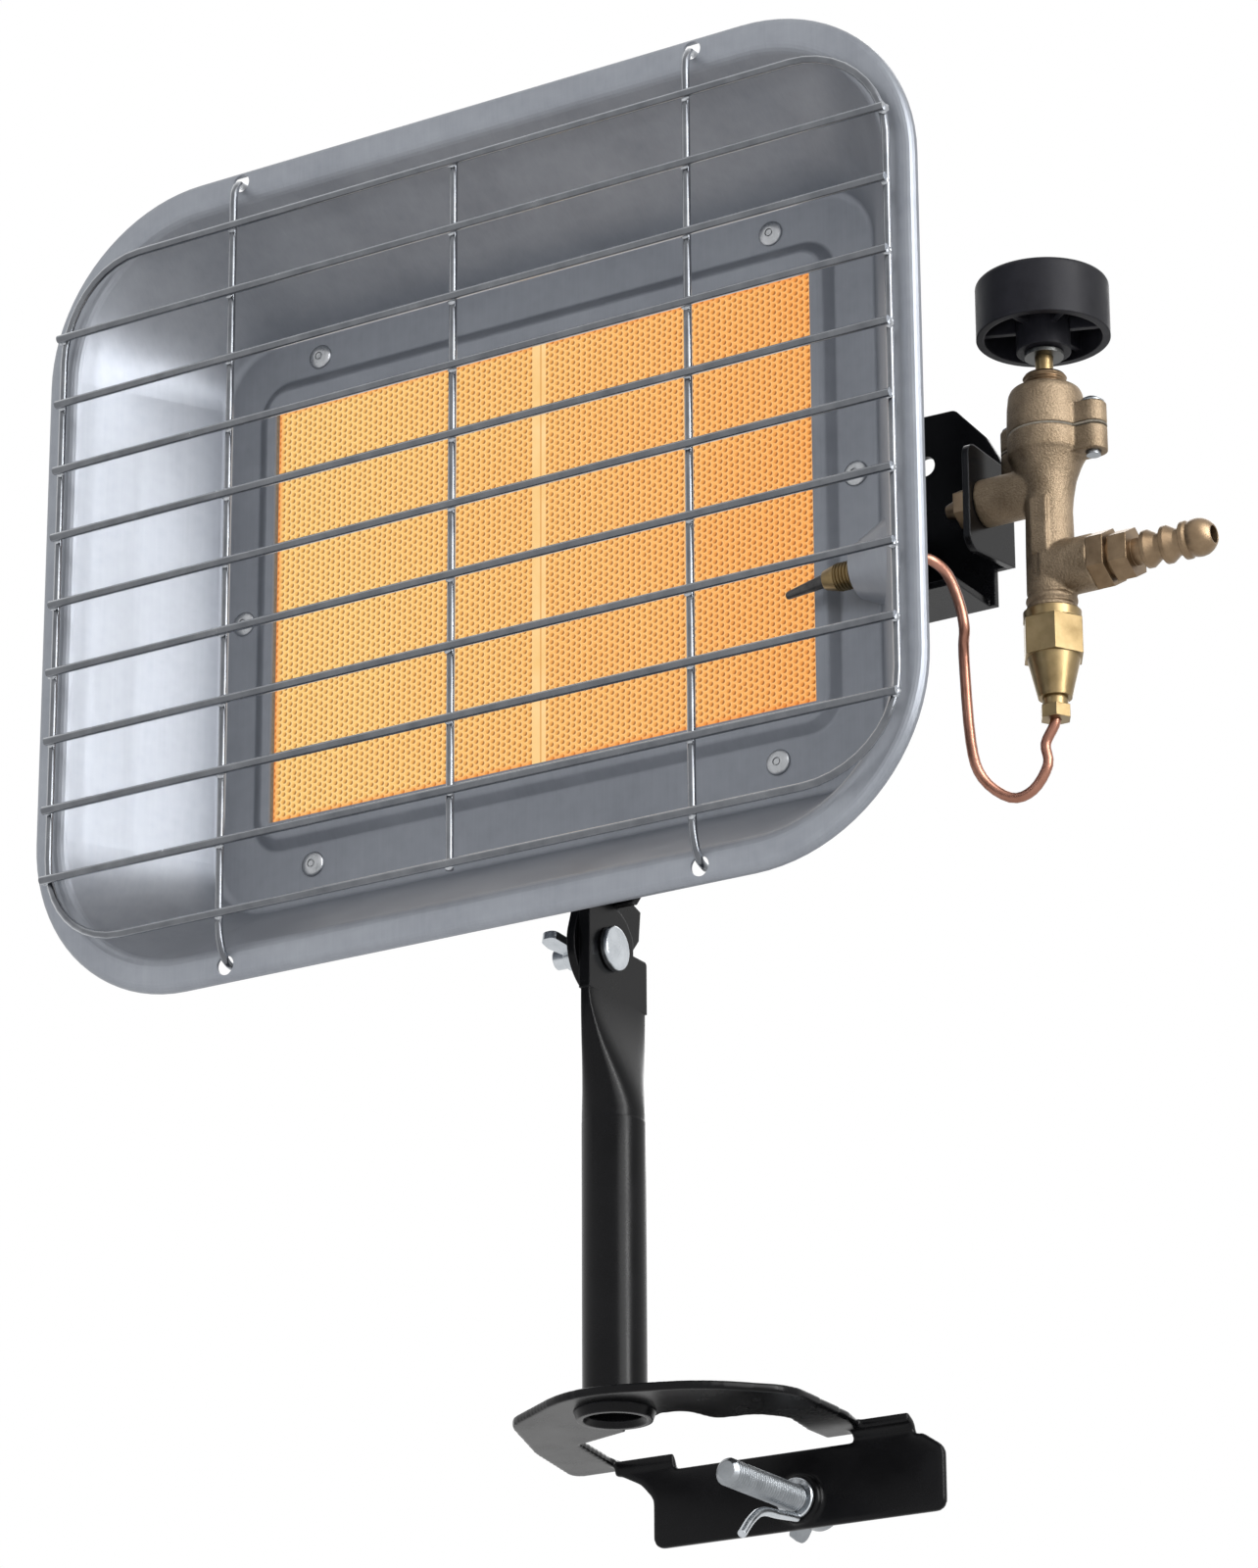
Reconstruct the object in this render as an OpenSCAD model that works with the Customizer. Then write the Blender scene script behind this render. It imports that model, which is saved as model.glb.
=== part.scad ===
// Gas patio heater that clamps to the neck of a gas bottle.
// Millimetres, +Z up, the glowing face looks to -Y.
// Origin: middle of the clamp's opening, on the underside of the clamp sheet.

/* [Clamp] */
// thickness of the clamp sheet
sheet_t = 2.5; // [2:0.1:3]
// how far the flange hangs below the sheet
flange_h = 25.5; // [25:0.5:32]
// distance from the opening's middle back to the flange
flange_y = 16; // [14:1:20]
// length of the flange to the right of the screw
flange_right = 45.2; // [40:0.2:60]
// length of the flange to the left of the screw
flange_left = 48; // [44:0.5:52]
// outside diameter of the clamp screw
screw_d = 8; // [6:0.5:10]
// depth of the screw's axis below the sheet
screw_drop = 17.5; // [16:0.5:18]
// distance of the screw's tip in front of the opening's middle
screw_reach = 25.5; // [10:0.5:28]
// length of the bent tail on the lock nut
tail_l = 23; // [16:1:26]

/* [Post] */
// outside diameter of the post
tube_d = 18; // [16:0.5:22]
// wall of the post
tube_wall = 1.5; // [1:0.1:2.5]
// distance of the post to the left of the opening's middle
post_left = 27.5; // [26:0.5:30]
// distance of the post in front of the opening's middle
post_front = 38; // [36:0.5:42]
// width of the flat tab at the post's top
tab_w = 31; // [29:0.5:34]
// thickness of the flat tab
tab_t = 3.5; // [3:0.1:4.5]
// height of the hinge bolt above the clamp sheet's underside
hinge_z = 132.6; // [125:0.2:160]
// distance of the hinge bolt in front of the post's axis
hinge_front = 4; // [3:0.5:5]

/* [Hinge] */
// diameter of the hinge bolt
bolt_d = 6; // [5:0.5:6.5]
// diameter of the bolt's round head
bolt_head_d = 13; // [12:0.5:16]
// radius of the round ear on the head's bracket
ear_r = 13.5; // [12:0.5:13.5]
// thickness of the ear and its plate
ear_t = 2.5; // [2:0.1:3]
// reach of each wing of the wing nut
wing_l = 13.5; // [12:0.5:16]

/* [Reflector] */
// width of the pan
pan_w = 289; // [284:1:310]
// height of the pan
pan_h = 249; // [246:1:256]
// depth from the rim to the floor
pan_depth = 42.5; // [39:0.5:46]
// outside corner radius of the rim
rim_r = 53; // [50:1:60]
// width of the flat rim
rim_flat = 9; // [8.5:0.5:10]
// depth of the lip turned back round the rim
lip_h = 3; // [2.8:0.2:6]
// how far the wall slopes in from rim to floor
wall_in = 26; // [26:0.5:30.5]
// thickness of the pan's sheet
pan_t = 0.9; // [0.8:0.1:1.2]
// height of the hinge bolt below the middle of the pan
head_rise = 107.4; // [104:0.2:112]
// distance from the hinge bolt forward to the rim
head_front = 77.3; // [74:0.1:80]

/* [Guard] */
// distance from the rim forward to the guard's middle
guard_gap = 4.6; // [4.6:0.1:6]
// diameter of the level wires
bar_d = 2.4; // [2.2:0.1:3]
// diameter of the loop and upright wires
wire_d = 2.3; // [2.2:0.1:3.2]
// spacing of the level wires
bar_pitch = 21.1; // [20:0.1:21.2]
// length of the level wires
bar_l = 276; // [270:1:280]
// distance of the outer uprights from the middle
upright_x = 76.2; // [60:0.2:84]

/* [Burner] */
// width of one ceramic tile
tile_w = 92; // [90:0.5:93]
// height of a tile
tile_h = 132; // [130:0.5:134]
// thickness of a tile
tile_t = 12; // [10:0.5:12.5]
// width of the strip between the tiles
seam_w = 4.6; // [3:0.2:5]
// how far the floor laps over the tiles all round
tile_lap = 2.5; // [1.5:0.1:3.5]
// height of the burner's middle above the pan's middle
burner_up = 2; // [0:0.1:3]
// depth of the burner box behind the floor
box_depth = 38; // [37.5:0.1:43]
// diameter of the mixing tube
mix_d = 15; // [12:0.5:16]

/* [Valve] */
// distance of the valve's axis to the right of the pan's middle
valve_x = 149.3; // [149:0.1:156]
// distance of the valve's axis behind the rim
valve_back = 65.4; // [65:0.1:66.5]
// diameter of the knob
knob_d = 37; // [32:1:44]
// height of the knob's skirt
knob_h = 16.5; // [14:0.5:20]
// diameter of the spindle
spindle_d = 5; // [4.5:0.1:5.5]
// travel of the knob when it is pressed
press_travel = 3; // [2:0.5:3.5]
// diameter of the hose tail's ribs
hose_d = 10.5; // [9:0.1:11.5]
// length of the hose tail
hose_l = 24; // [22:0.5:30]
// diameter of the copper lead
lead_d = 3; // [2:0.1:3.2]

/* [Hidden] */
$fn = 48;

// gaps shared by every moving piece, weld depth, and overshoot of a cut
run_fit = 0.05;
clear = 0.3;
weld = 0.05;
over = 1;
eps = 0.01;

// places of the main pieces
post_x = -post_left;
post_y = -post_front;
hinge_y = post_y - hinge_front;
rim_y = hinge_y - head_front;
head_z = hinge_z + head_rise;
floor_y = pan_depth;
floor_back = floor_y + pan_t;
face_rise = 3;
face_y = floor_y - face_rise;

// clamp sheet: outlines are lists of [x, y, corner radius]
bend_in = 3;
bend_y = flange_y - bend_in;
bend_left = -flange_left - 12.5;
bend_left_end = -41;
bend_right = flange_right - 9.2;
bend_trim = bend_in - 0.4;
arm_in = 6.8;
arm_out = 17;
arm_back = flange_y + 3.5;
back_edge = flange_y + 6.5;
ring_edge = post_y + tube_d/2 + 2.6;
sheet_edge = [[post_x - 33.5, post_y - 1, 14], [post_x - 1.5, post_y - 22, 30],
  [6, post_y - 11, 40], [24.4, -29.6, 16], [22.8, 4, 30], [20.5, bend_y, 0], [arm_out, bend_y, 0],
  [arm_out, arm_back, 1], [arm_in, arm_back, 1], [arm_in, bend_y, 0], [bend_left, bend_y, 0],
  [bend_left, back_edge, 0], [-78.2, back_edge, 4], [-72.2, -8, 30]];
neck_cut = [[-56.2, -10.2, 2], [-37, -16.6, 1.5], [-33.6, ring_edge + 2.4, 2], [-22, ring_edge, 3],
  [-18, ring_edge - 2.9, 3], [-11, -28.5, 5], [-8.3, -16, 4], [3.5, -14.6, 7], [9.4, -7, 8],
  [arm_in, 9, 6], [arm_in, bend_y + over, 0], [bend_left, bend_y + over, 0]];
flange_edge = [[bend_left + 1.5, -bend_in, 0], [bend_right + 2.6, -bend_in, 0],
  [flange_right, -7.5, 4], [flange_right, -flange_h, 3], [-flange_left, -flange_h, 3],
  [-flange_left, -11, 5], [-flange_left - 4.5, -6.2, 6]];

// clamp screw, its wing head and lock nut
boss_d = screw_d + 6;
boss_h = 2;
screw_tip = 1.2;
wing_hub_l = 9;
wing_gap = clear;
wing_reach = 11;
wing_far = 10;
wing_turn = 232;
screw_back = flange_y + sheet_t + wing_gap + wing_hub_l;
nut_ring_d = screw_d + 5;
nut_ring_t = 1.5;
tail_t = 1.4;
tail_w = 8;
tail_drop = 10;
tail_kick = 9;

// post
flare_d = tube_d + 5;
flare_h = 2.6;
bead_h = 2;
flat_drop = 14;
round_drop = 50;
flat_z = hinge_z - flat_drop;
round_z = hinge_z - round_drop;
tab_top = 13.5;
step_up = 1.5;
notch_back = 12.2;
loft_rings = 12;
loft_sides = 32;
loft_square = 0.75;
loft_sink = 0.04;
loft_low = round_z - over;
loft_high = flat_z + over;

// hinge
head_dome = 3;
ear_x = -tab_t/2 - clear;
hinge_wash_t = 1.2;
hinge_wash_d = 12;
nut_hub_d = 9.6;
nut_hub_l = 5.5;
nut_turn = -12;
wing_t = 2.4;
bolt_spare = 4;
wash_x = ear_x - ear_t - clear;
wash_far = wash_x - hinge_wash_t;
nut_x = wash_far - clear;
bolt_end = nut_x - nut_hub_l - bolt_spare;

// bends of the pan's sheet: rim edge, mouth of the hollow, foot of the wall
rim_bend = 2.6;
mouth_bend = 4.9;
floor_bend = 3;
floor_lap = 4;

// burner box
open_w = 2*tile_w + seam_w - 2*tile_lap - 3.1;
open_h = tile_h - 2*tile_lap + 3.8;
box_t = 1;
box_w = 2*tile_w + seam_w + 5.4;
box_h = tile_h + 10;
box_lap = 10;
gasket_t = 1.5;
front_depth = gasket_t + tile_t + 3 - face_rise;
plenum_h = 112;
tile_y = face_y + pan_t + gasket_t;
box_back = floor_back + box_depth;
rivet_x = 76.5;
rivet_share = 0.52;
rivet_room = pan_h/2 - rim_flat - wall_in - burner_up - box_h/2;
rivet_z = box_h/2 + rivet_share*rivet_room;
rivet_out = 5.2;
rivet_side = box_w/2 + rivet_out;
rivet_edge = 5;
rivet_d = 4;
rivet_head_d = 7.5;
rivet_head_t = 0.5;
rivet_dome = 0.8;
rivet_tail = 2.4;
rivet_hole = 2.2;
rivet_cone = 1.2;
rivet_swell = 0.8;
step_beside = 6.8;
step_below = 7.5;
face_w = 2*(rivet_side - step_beside);
face_h = 2*(rivet_z - step_below);
face_r = 9;
step_in = 1.8;
step_lap = 3.5;
step_bend = 2;
gasket_in = 2;
gasket_over = 3;
gasket_r = 6;
mix_in = 40;
mix_flare = 5;
mix_wall = 1;
mix_mouth = box_w/2 + 9;

// hinge plate and valve bracket on the back of the box
plate_screw_d = 4;
plate_head_d = 7.5;
plate_head_t = 2.6;
plate_slot = 1.2;
plate_grip = 4;
hinge_screw_x = 16;
hinge_screw_z = [-30, -46];
valve_screw_x = 76;
valve_screw_z = [-14, 24];
hinge_plate = [[0, -93, 0], [11, -93, 0.5], [36, -58, 8], [36, -22, 6], [0, -22, 0]];
bracket_t = 2;
bracket_near = 56.7;
wall_x = 129.5;
wall_low = -21;
wall_low_back = -17.5;
wall_high = 11;
bracket_face = [[58, -28, 3], [124, -28, 0], [124, wall_low_back, 0], [wall_x, wall_low_back, 0],
  [wall_x, 8, 3], [126, 16.5, 2], [122.5, 23, 2], [113, 33.5, 3], [58, 34.5, 3]];
shelf_x = box_w/2 + clear;
shelf_end = 122;
shelf_y = 62;
shelf_z = -28;
spare_hole = [103.2, 18.5];
spare_hole_d = 6;

// guard
hook_z = pan_h/2 - 5;
hook_bend = 5;
hook_end = 4;
hook_room = 3.3;
hook_low = 0.8;
guard_side = 1.2;
guard_drop = 1.4;
rear = (bar_d + wire_d)/2 - weld;
bar_y = -guard_gap - rear/2;
post_wire_y = -guard_gap + rear/2;
loop_front = post_wire_y - wire_d + weld;
loop_w = bar_l - 1.5;
loop_h = 10*bar_pitch;
loop_r = 28;
loop_steps = 7;
bars_each_way = 4;

// valve: heights from the middle of the pan, outlines are lists of [radius, height]
stub_z = -5;
stub_d = 13.4;
stub_bore = 4;
inlet_z = -29.5;
inlet_d = 15.4;
inlet_l = 14;
inlet_bore = 4.8;
nut_bore = 7;
bonnet_z = 10.5;
bonnet_top = 24;
bonnet_d = 21.4;
valve_gasket_t = 0.5;
body_top = bonnet_z - valve_gasket_t;
body_low = -50;
body_end = -41.5;
union_d = 11.2;
magnet_d = 9;
magnet_l = 31;
magnet_low = -49;
bore_low = -14;
body_line = [[0, body_low], [union_d/2, body_low], [union_d/2, body_end], [7.1, body_end],
  [7.1, -40.4], [6.4, -40], [6.4, -39.4], [7.1, -39], [7.1, -37.8], [6.4, -37.4], [6.4, -36.8],
  [6.8, -36.2], [6.7, -24], [6.5, -12], [6.9, -8], [7.8, -3], [9.2, 1], [10.2, 3.2], [10.9, 4.2],
  [10.9, body_top], [0, body_top]];
bonnet_r = bonnet_d/2;
bonnet_line = [[0, bonnet_z], [bonnet_r, bonnet_z], [bonnet_r + 0.2, 13], [bonnet_r, 18.5],
  [bonnet_r - 0.4, 22], [bonnet_r - 1, 23.4], [bonnet_r - 1.8, bonnet_top], [0, bonnet_top]];
ear_off = 14;
ear_in = 8;
ear_turns = [0, 155];
ear_d = 8;
ear_h = 6.5;
ear_low = 2.6;
ear_step = 0.2;
ear_screw_d = 4;
ear_screw_low = 1.6;
ear_head_d = 7;
ear_head_t = 2;
ear_head_r = 4.5;
label_w = 5.2;
label_h = 16;
label_z = -26;
label_y = -7.2;
label_t = 4;
pack_d = 11.2;
pack_ring = 0.5;
pack_pitch = 1.5;
pack_rings = 3;

// spindle, spring and knob
wash_z = 34.2;
wash_t = 1.2;
wash_d = 10.8;
knob_z = 40;
knob_wall = 2.2;
knob_top = 7.5;
knob_round = 1.5;
knob_rib = 1.8;
knob_deep = 11;
hub_d = 15;
spindle_low = -8;
spindle_top = 10;
collar_t = 1.3;
collar_d = 10;
cavity_d = 13;
cavity_top = 18;
spring_wire = 1;
spring_turns = 5;
spring_space = 0.6;
spring_r = 4.3;
spring_sink = 0.02;
spring_l = spring_turns*(spring_wire + spring_space) + spring_wire + press_travel;
cavity_z = cavity_top - clear - collar_t - spring_l;

// hose tail and the nuts below the valve
nut_flats = 14.6;
nut_l = 5;
nut_screw_d = 10;
nut_screw_l = 7.5;
tail_hex = 12.6;
tail_hex_l = 5.5;
tail_collar = 1;
tail_collar_d = tail_hex - 1.2;
tail_x = inlet_l + nut_l + tail_collar;
hose_x = tail_x + tail_hex_l;
hose_core = hose_d - 3;
rib_land = 1.2;
rib_slope = 1.2;
rib_step = (hose_l - 7)/3;
nose_flat = 0.8;
union_hex = 15.4;
union_hex_z = -55;
union_hex_l = 10.5;
union_ring_d = 16;
union_ring_l = 2.7;
union_cone_z = -66.5;
union_cone_d = 9.2;
union_cone_top = 14.6;
union_bore = 6;
lead_nut_hex = 7.6;
lead_nut_z = -72.6;
lead_nut_l = 3.6;
lead_nut_ring = 7;

// thermocouple: probe along X, copper lead from the valve round to the probe
probe_y = 34.5;
probe_z = -31.4;
probe_d = 8;
probe_grip = 4;
probe_room = 0.6;
probe_hex = 11;
probe_hex_l = 2.6;
probe_high = probe_y - probe_hex/cos(30)/2;
probe_nut_x = pan_w/2 - rim_flat - wall_in*probe_high/pan_depth + 2*pan_t + clear;
probe_out = probe_nut_x + probe_hex_l + 0.4;
probe_reach = 23.9;
probe_in = probe_nut_x - probe_reach;
tip_reach = 12.2;
boss_out = 13;
boss_face_d = 15;
boss_base_d = 32;
boss_l = 18;
tip_in = probe_in - tip_reach;
tip_d = 4;
tip_point = 2.3;
tip_out = 5;
tip_grip = 7;
valve_at = [valve_x, valve_back, 0];
probe_rear = [probe_out - probe_grip, probe_y, probe_z];
lead_line = [valve_at + [0, 0, -61], valve_at + [0, 0, -66], valve_at + [0, 0, -71],
  valve_at + [-0.5, 0, -74], valve_at + [-3.3, 0, -79], valve_at + [-2.8, 0, -85],
  valve_at + [-7.5, 0, -91.3], valve_at + [-13.8, -1, -92.5], valve_at + [-20.5, -4, -86.5],
  valve_at + [-21.7, -8, -77], valve_at + [-20.5, -13, -54], probe_rear + [12.1, 13.4, -17],
  probe_rear + [11.6, 11.8, -10], probe_rear + [10.5, 7.5, -3], probe_rear + [8.7, 2.2, -0.4],
  probe_rear + [6, 0, 0], probe_rear + [3, 0, 0], probe_rear];
lead_steps = 4;

function unit(v) = v/norm(v);
function arc(c, r, a, b, n) =
  [for (i = [0:n]) c + r*[cos(a + (b - a)*i/n), sin(a + (b - a)*i/n)]];
function wrap(a) = a > 180 ? a - 360 : a <= -180 ? a + 360 : a;
function angle_of(v) = atan2(v[1], v[0]);

// arc that rounds the corner q between the neighbours p and s
function corner(p, q, s, r, n) =
  let (u = unit(p - q), v = unit(s - q), half = acos(u*v)/2,
    c = q + unit(u + v)*r/sin(half), d = r/tan(half),
    a = angle_of(q + u*d - c), t = wrap(angle_of(q + v*d - c) - a))
  arc(c, r, a, a + t, n);

// closed outline with a radius at each point
function rounded(p, n = 6) =
  let (m = len(p))
  [for (i = [0:m - 1])
    let (q = [p[i][0], p[i][1]], a = p[(i + m - 1)%m], b = p[(i + 1)%m])
    each (p[i][2] > 0 ? corner([a[0], a[1]], q, [b[0], b[1]], p[i][2], n) : [q])];

// tube along a path, built from rings that turn with it
function tangent(p, i, loop) =
  let (m = len(p))
  loop ? unit(p[(i + 1)%m] - p[(i + m - 1)%m]) : unit(p[min(i + 1, m - 1)] - p[max(i - 1, 0)]);
function flatten_to(n, t) = unit(n - (n*t)*t);
function normals(p, first, loop) =
  [for (i = 0, n = flatten_to(first, tangent(p, 0, loop)); i < len(p);
    i = i + 1, n = flatten_to(n, tangent(p, min(i, len(p) - 1), loop))) n];

module tube_path(p, r, sides, first, loop = false) {
  m = len(p);
  n = normals(p, first, loop);
  pts = [for (i = [0:m - 1], k = [0:sides - 1])
    let (t = tangent(p, i, loop), a = 360*k/sides)
    p[i] + r*cos(a)*n[i] + r*sin(a)*cross(t, n[i])];
  last = loop ? m - 1 : m - 2;
  side = [for (i = [0:last], k = [0:sides - 1])
    let (j = (i + 1)%m, l = (k + 1)%sides)
    [i*sides + k, j*sides + k, j*sides + l, i*sides + l]];
  start_cap = [for (k = [0:sides - 1]) k];
  end_cap = [for (k = [sides - 1:-1:0]) (m - 1)*sides + k];
  polyhedron(pts, concat(side, loop ? [] : [start_cap, end_cap]), convexity = 8);
}

// smooth path through chosen points
function spline_at(a, b, c, d, t) =
  0.5*(2*b + (c - a)*t + (2*a - 5*b + 4*c - d)*t*t + (3*b - a - 3*c + d)*t*t*t);
function spline(p, n) =
  let (m = len(p))
  concat([for (i = [0:m - 2], k = [0:n - 1])
    spline_at(p[max(i - 1, 0)], p[i], p[i + 1], p[min(i + 2, m - 1)], k/n)], [p[m - 1]]);

// smooth step from 0 to 1
function press(t) = t*t*(3 - 2*t);

module at_head() {
  translate([post_x, rim_y, head_z]) children();
}

module at_valve() {
  at_head() translate(valve_at) children();
}

// cylinder along +Y or +X, and a cone along +X
module rod_y(x, y, z, d, l) {
  translate([x, y, z]) rotate([-90, 0, 0]) cylinder(d = d, h = l);
}

module rod_x(x, y, z, d, l) {
  translate([x, y, z]) rotate([0, 90, 0]) cylinder(d = d, h = l);
}

module cone_x(x, y, z, d, e, l) {
  translate([x, y, z]) rotate([0, 90, 0]) cylinder(d1 = d, d2 = e, h = l);
}

// six-sided bar, size measured over two flats
module hex(flats, l) {
  cylinder(d = flats/cos(30), h = l, $fn = 6);
}

// outline drawn in x and z, standing in front of y
module upright_sheet(y, t, line) {
  translate([0, y, 0]) rotate([90, 0, 0]) linear_extrude(t) polygon(rounded(line));
}

// outline drawn in y and z, standing to the right of x
module side_sheet(x, t) {
  translate([x, 0, 0]) rotate([90, 0, 90]) linear_extrude(t) children();
}

module round_rect(w, h, r) {
  square([w - 2*r, h], center = true);
  square([w, h - 2*r], center = true);
  for (x = [-1, 1], y = [-1, 1]) translate([x*(w/2 - r), y*(h/2 - r)]) circle(r);
}

// profile of [distance in from the edge, depth] carried round a rounded rectangle
module frame_sweep(w, h, r, prof) {
  line = [for (q = prof) [r - q[0], q[1]]];
  for (k = [0:3]) {
    long = k%2 == 0 ? h : w;
    reach = k%2 == 0 ? w : h;
    rotate(90*k) {
      translate([reach/2 - r, 0, 0]) rotate([90, 0, 0])
        linear_extrude(long - 2*r, center = true) polygon(line);
      translate([reach/2 - r, long/2 - r, 0]) rotate_extrude(angle = 90) polygon(line);
    }
  }
}

// clamp sheet: cut from plate, its back edge bent down into the flange
module clamp_plate() {
  color([0.08, 0.08, 0.09]) difference() {
    union() {
      difference() {
        linear_extrude(sheet_t) polygon(rounded(sheet_edge));
        translate([0, 0, -over]) linear_extrude(sheet_t + 2*over) polygon(rounded(neck_cut));
      }
      difference() {
        clamp_bend(bend_left, bend_left_end);
        translate([bend_left, bend_y - over, bend_trim - 2*bend_in])
          cube([bend_left_end - bend_left + over, bend_trim + over, 3*bend_in]);
      }
      clamp_bend(arm_out, bend_right);
      upright_sheet(flange_y + sheet_t, sheet_t, flange_edge);
      rod_y(0, flange_y - boss_h, -screw_drop, boss_d, boss_h + over);
    }
    translate([post_x, post_y, -over]) cylinder(d = tube_d, h = sheet_t + 2*over);
    rod_y(0, flange_y - boss_h - over, -screw_drop, screw_d + 2*run_fit, boss_h + sheet_t + 2*over);
  }
}

// quarter bend between the sheet and the flange
module clamp_bend(from, to) {
  out = bend_in + sheet_t;
  translate([from, bend_y, -bend_in]) rotate([90, 0, 90]) linear_extrude(to - from)
    intersection() {
      difference() {
        circle(out);
        circle(bend_in);
      }
      square(out + over);
    }
}

// post: tube swaged into the clamp sheet, its top pressed flat
module post_tube() {
  bore = tube_d - 2*tube_wall;
  color([0.08, 0.08, 0.09]) translate([post_x, post_y, 0]) difference() {
    union() {
      translate([0, 0, -flare_h]) cylinder(d = tube_d, h = round_z + flare_h);
      translate([0, 0, -flare_h]) cylinder(d1 = flare_d - 2, d2 = flare_d, h = flare_h);
      translate([0, 0, sheet_t]) cylinder(d1 = flare_d, d2 = tube_d, h = bead_h);
      post_loft();
      post_tab();
    }
    translate([0, 0, -flare_h - over]) cylinder(d = bore, h = round_z - tube_wall);
    translate([0, 0, -flare_h - eps]) cylinder(d1 = tube_d, d2 = bore, h = tube_wall);
    rod_x(-tab_t, -hinge_front, hinge_z, bolt_d, 2*tab_t);
  }
}

// round tube pressed flat: rings that change from a circle to a flat oval
function oval(k, t) =
  let (a = 360*k/loft_sides, e = 1 - loft_square*t, r = tube_d/2 - loft_sink,
    hx = r + (tab_t/2 - loft_sink - r)*t, hy = r + (tab_w/2 - loft_sink - r)*t)
  [hx*sign(cos(a))*pow(abs(cos(a)), e), hy*sign(sin(a))*pow(abs(sin(a)), e)];

module post_loft() {
  m = loft_rings;
  s = loft_sides;
  pts = [for (i = [0:m], k = [0:s - 1])
    let (q = oval(k, press(i/m))) [q[0], q[1], loft_low + (loft_high - loft_low)*i/m]];
  side = [for (i = [0:m - 1], k = [0:s - 1])
    let (l = (k + 1)%s) [i*s + k, (i + 1)*s + k, (i + 1)*s + l, i*s + l]];
  polyhedron(pts, concat(side, [[for (k = [0:s - 1]) k], [for (k = [s - 1:-1:0]) m*s + k]]));
}

module post_tab() {
  low = flat_z;
  step = hinge_z + step_up;
  top = hinge_z + tab_top;
  side_sheet(-tab_t/2, tab_t) {
    polygon(rounded([[-tab_w/2, low, 0], [tab_w/2, low, 0], [tab_w/2, step, 1],
      [-hinge_front, step, 0], [-hinge_front, top, 0], [-tab_w/2, top, 5]]));
    intersection() {
      translate([-hinge_front, hinge_z]) circle(tab_top);
      translate([-hinge_front - over, hinge_z]) square([notch_back + over, tab_top + over]);
    }
  }
}

module clamp_screw() {
  color([0.7, 0.71, 0.72]) translate([0, 0, -screw_drop]) union() {
    rod_y(0, screw_tip - screw_reach, 0, screw_d, screw_back + screw_reach - screw_tip);
    translate([0, -screw_reach, 0]) rotate([-90, 0, 0])
      cylinder(d1 = screw_d - 2*screw_tip, d2 = screw_d, h = screw_tip);
  }
}

// wing head that is fixed on the screw behind the flange
module clamp_screw_wing() {
  from = flange_y + sheet_t + wing_gap;
  hub_r = (screw_d + 5)/2;
  wing = [[0, 1, 0], [hub_r, 1, 1], [wing_reach, 4, 2], [wing_reach, wing_far, 2],
    [hub_r, wing_far - 1, 2], [hub_r - 2, wing_hub_l - 1, 1], [0, wing_hub_l - 1, 0]];
  color([0.7, 0.71, 0.72]) translate([0, from, -screw_drop]) difference() {
    union() {
      rod_y(0, 0, 0, 2*hub_r, wing_hub_l);
      for (a = [wing_turn, wing_turn - 180]) rotate([0, -a, 0]) translate([0, 0, -wing_t/2])
        linear_extrude(wing_t) polygon(rounded(wing));
    }
    rod_y(0, -over, 0, screw_d + 2*run_fit, wing_far + 2*over);
  }
}

// stamped nut with one bent tail
module clamp_lock_nut() {
  under = screw_d/2 + 0.5;
  tail = [[-nut_ring_t/2, -under, 0], [-nut_ring_t/4, -under - tail_t, 0],
    [-tail_l, -under - tail_t - 1, 3],
    [-tail_l - tail_kick, -under - tail_drop, 0.5],
    [-tail_l - tail_kick - tail_t, -under - tail_drop + 1, 0.5], [-tail_l - 1, -under - 1, 2]];
  color([0.75, 0.76, 0.77]) translate([0, flange_y - boss_h - clear, -screw_drop]) union() {
    difference() {
      rod_y(0, -nut_ring_t, 0, nut_ring_d, nut_ring_t);
      rod_y(0, -nut_ring_t - over, 0, screw_d + 2*run_fit, nut_ring_t + 2*over);
    }
    side_sheet(-tail_w/2, tail_w) polygon(rounded(tail));
  }
}

// hinge
module hinge_bolt() {
  rim = bolt_head_d/2;
  color([0.68, 0.7, 0.72]) translate([post_x, hinge_y, hinge_z]) union() {
    rod_x(bolt_end, 0, 0, bolt_d, tab_t/2 - bolt_end);
    translate([tab_t/2, 0, 0]) rotate([0, 90, 0]) rotate_extrude()
      polygon(concat([[0, 0], [rim - 0.4, 0], [rim, 0.5]],
        arc([rim - 1, head_dome - 1.4], 1, 0, 70, 4), [[0, head_dome]]));
  }
}

module hinge_washer() {
  color([0.7, 0.71, 0.72]) translate([post_x, hinge_y, hinge_z]) difference() {
    rod_x(wash_far, 0, 0, hinge_wash_d, hinge_wash_t);
    rod_x(wash_far - over, 0, 0, bolt_d + 2*run_fit, hinge_wash_t + 2*over);
  }
}

module hinge_wing_nut() {
  far = nut_hub_l + 2;
  wing = [[-0.5, 0, 0], [-0.5, -nut_hub_d/2, 1], [-2.5, -wing_l, 2], [-far, -wing_l, 2.5],
    [-far, -wing_l + 5, 2], [-nut_hub_l, -nut_hub_d/2 + 1, 0.5], [-nut_hub_l, 0, 0]];
  color([0.72, 0.73, 0.74]) translate([post_x + nut_x, hinge_y, hinge_z]) rotate([nut_turn, 0, 0])
    difference() {
      union() {
        cone_x(-nut_hub_l, 0, 0, nut_hub_d - 2, nut_hub_d, nut_hub_l);
        for (m = [0, 1]) mirror([0, m, 0]) translate([0, 0, -wing_t/2]) linear_extrude(wing_t)
          polygon(rounded(wing));
      }
      rod_x(-far - over, 0, 0, bolt_d + 2*run_fit, far + 2*over);
    }
}

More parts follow.
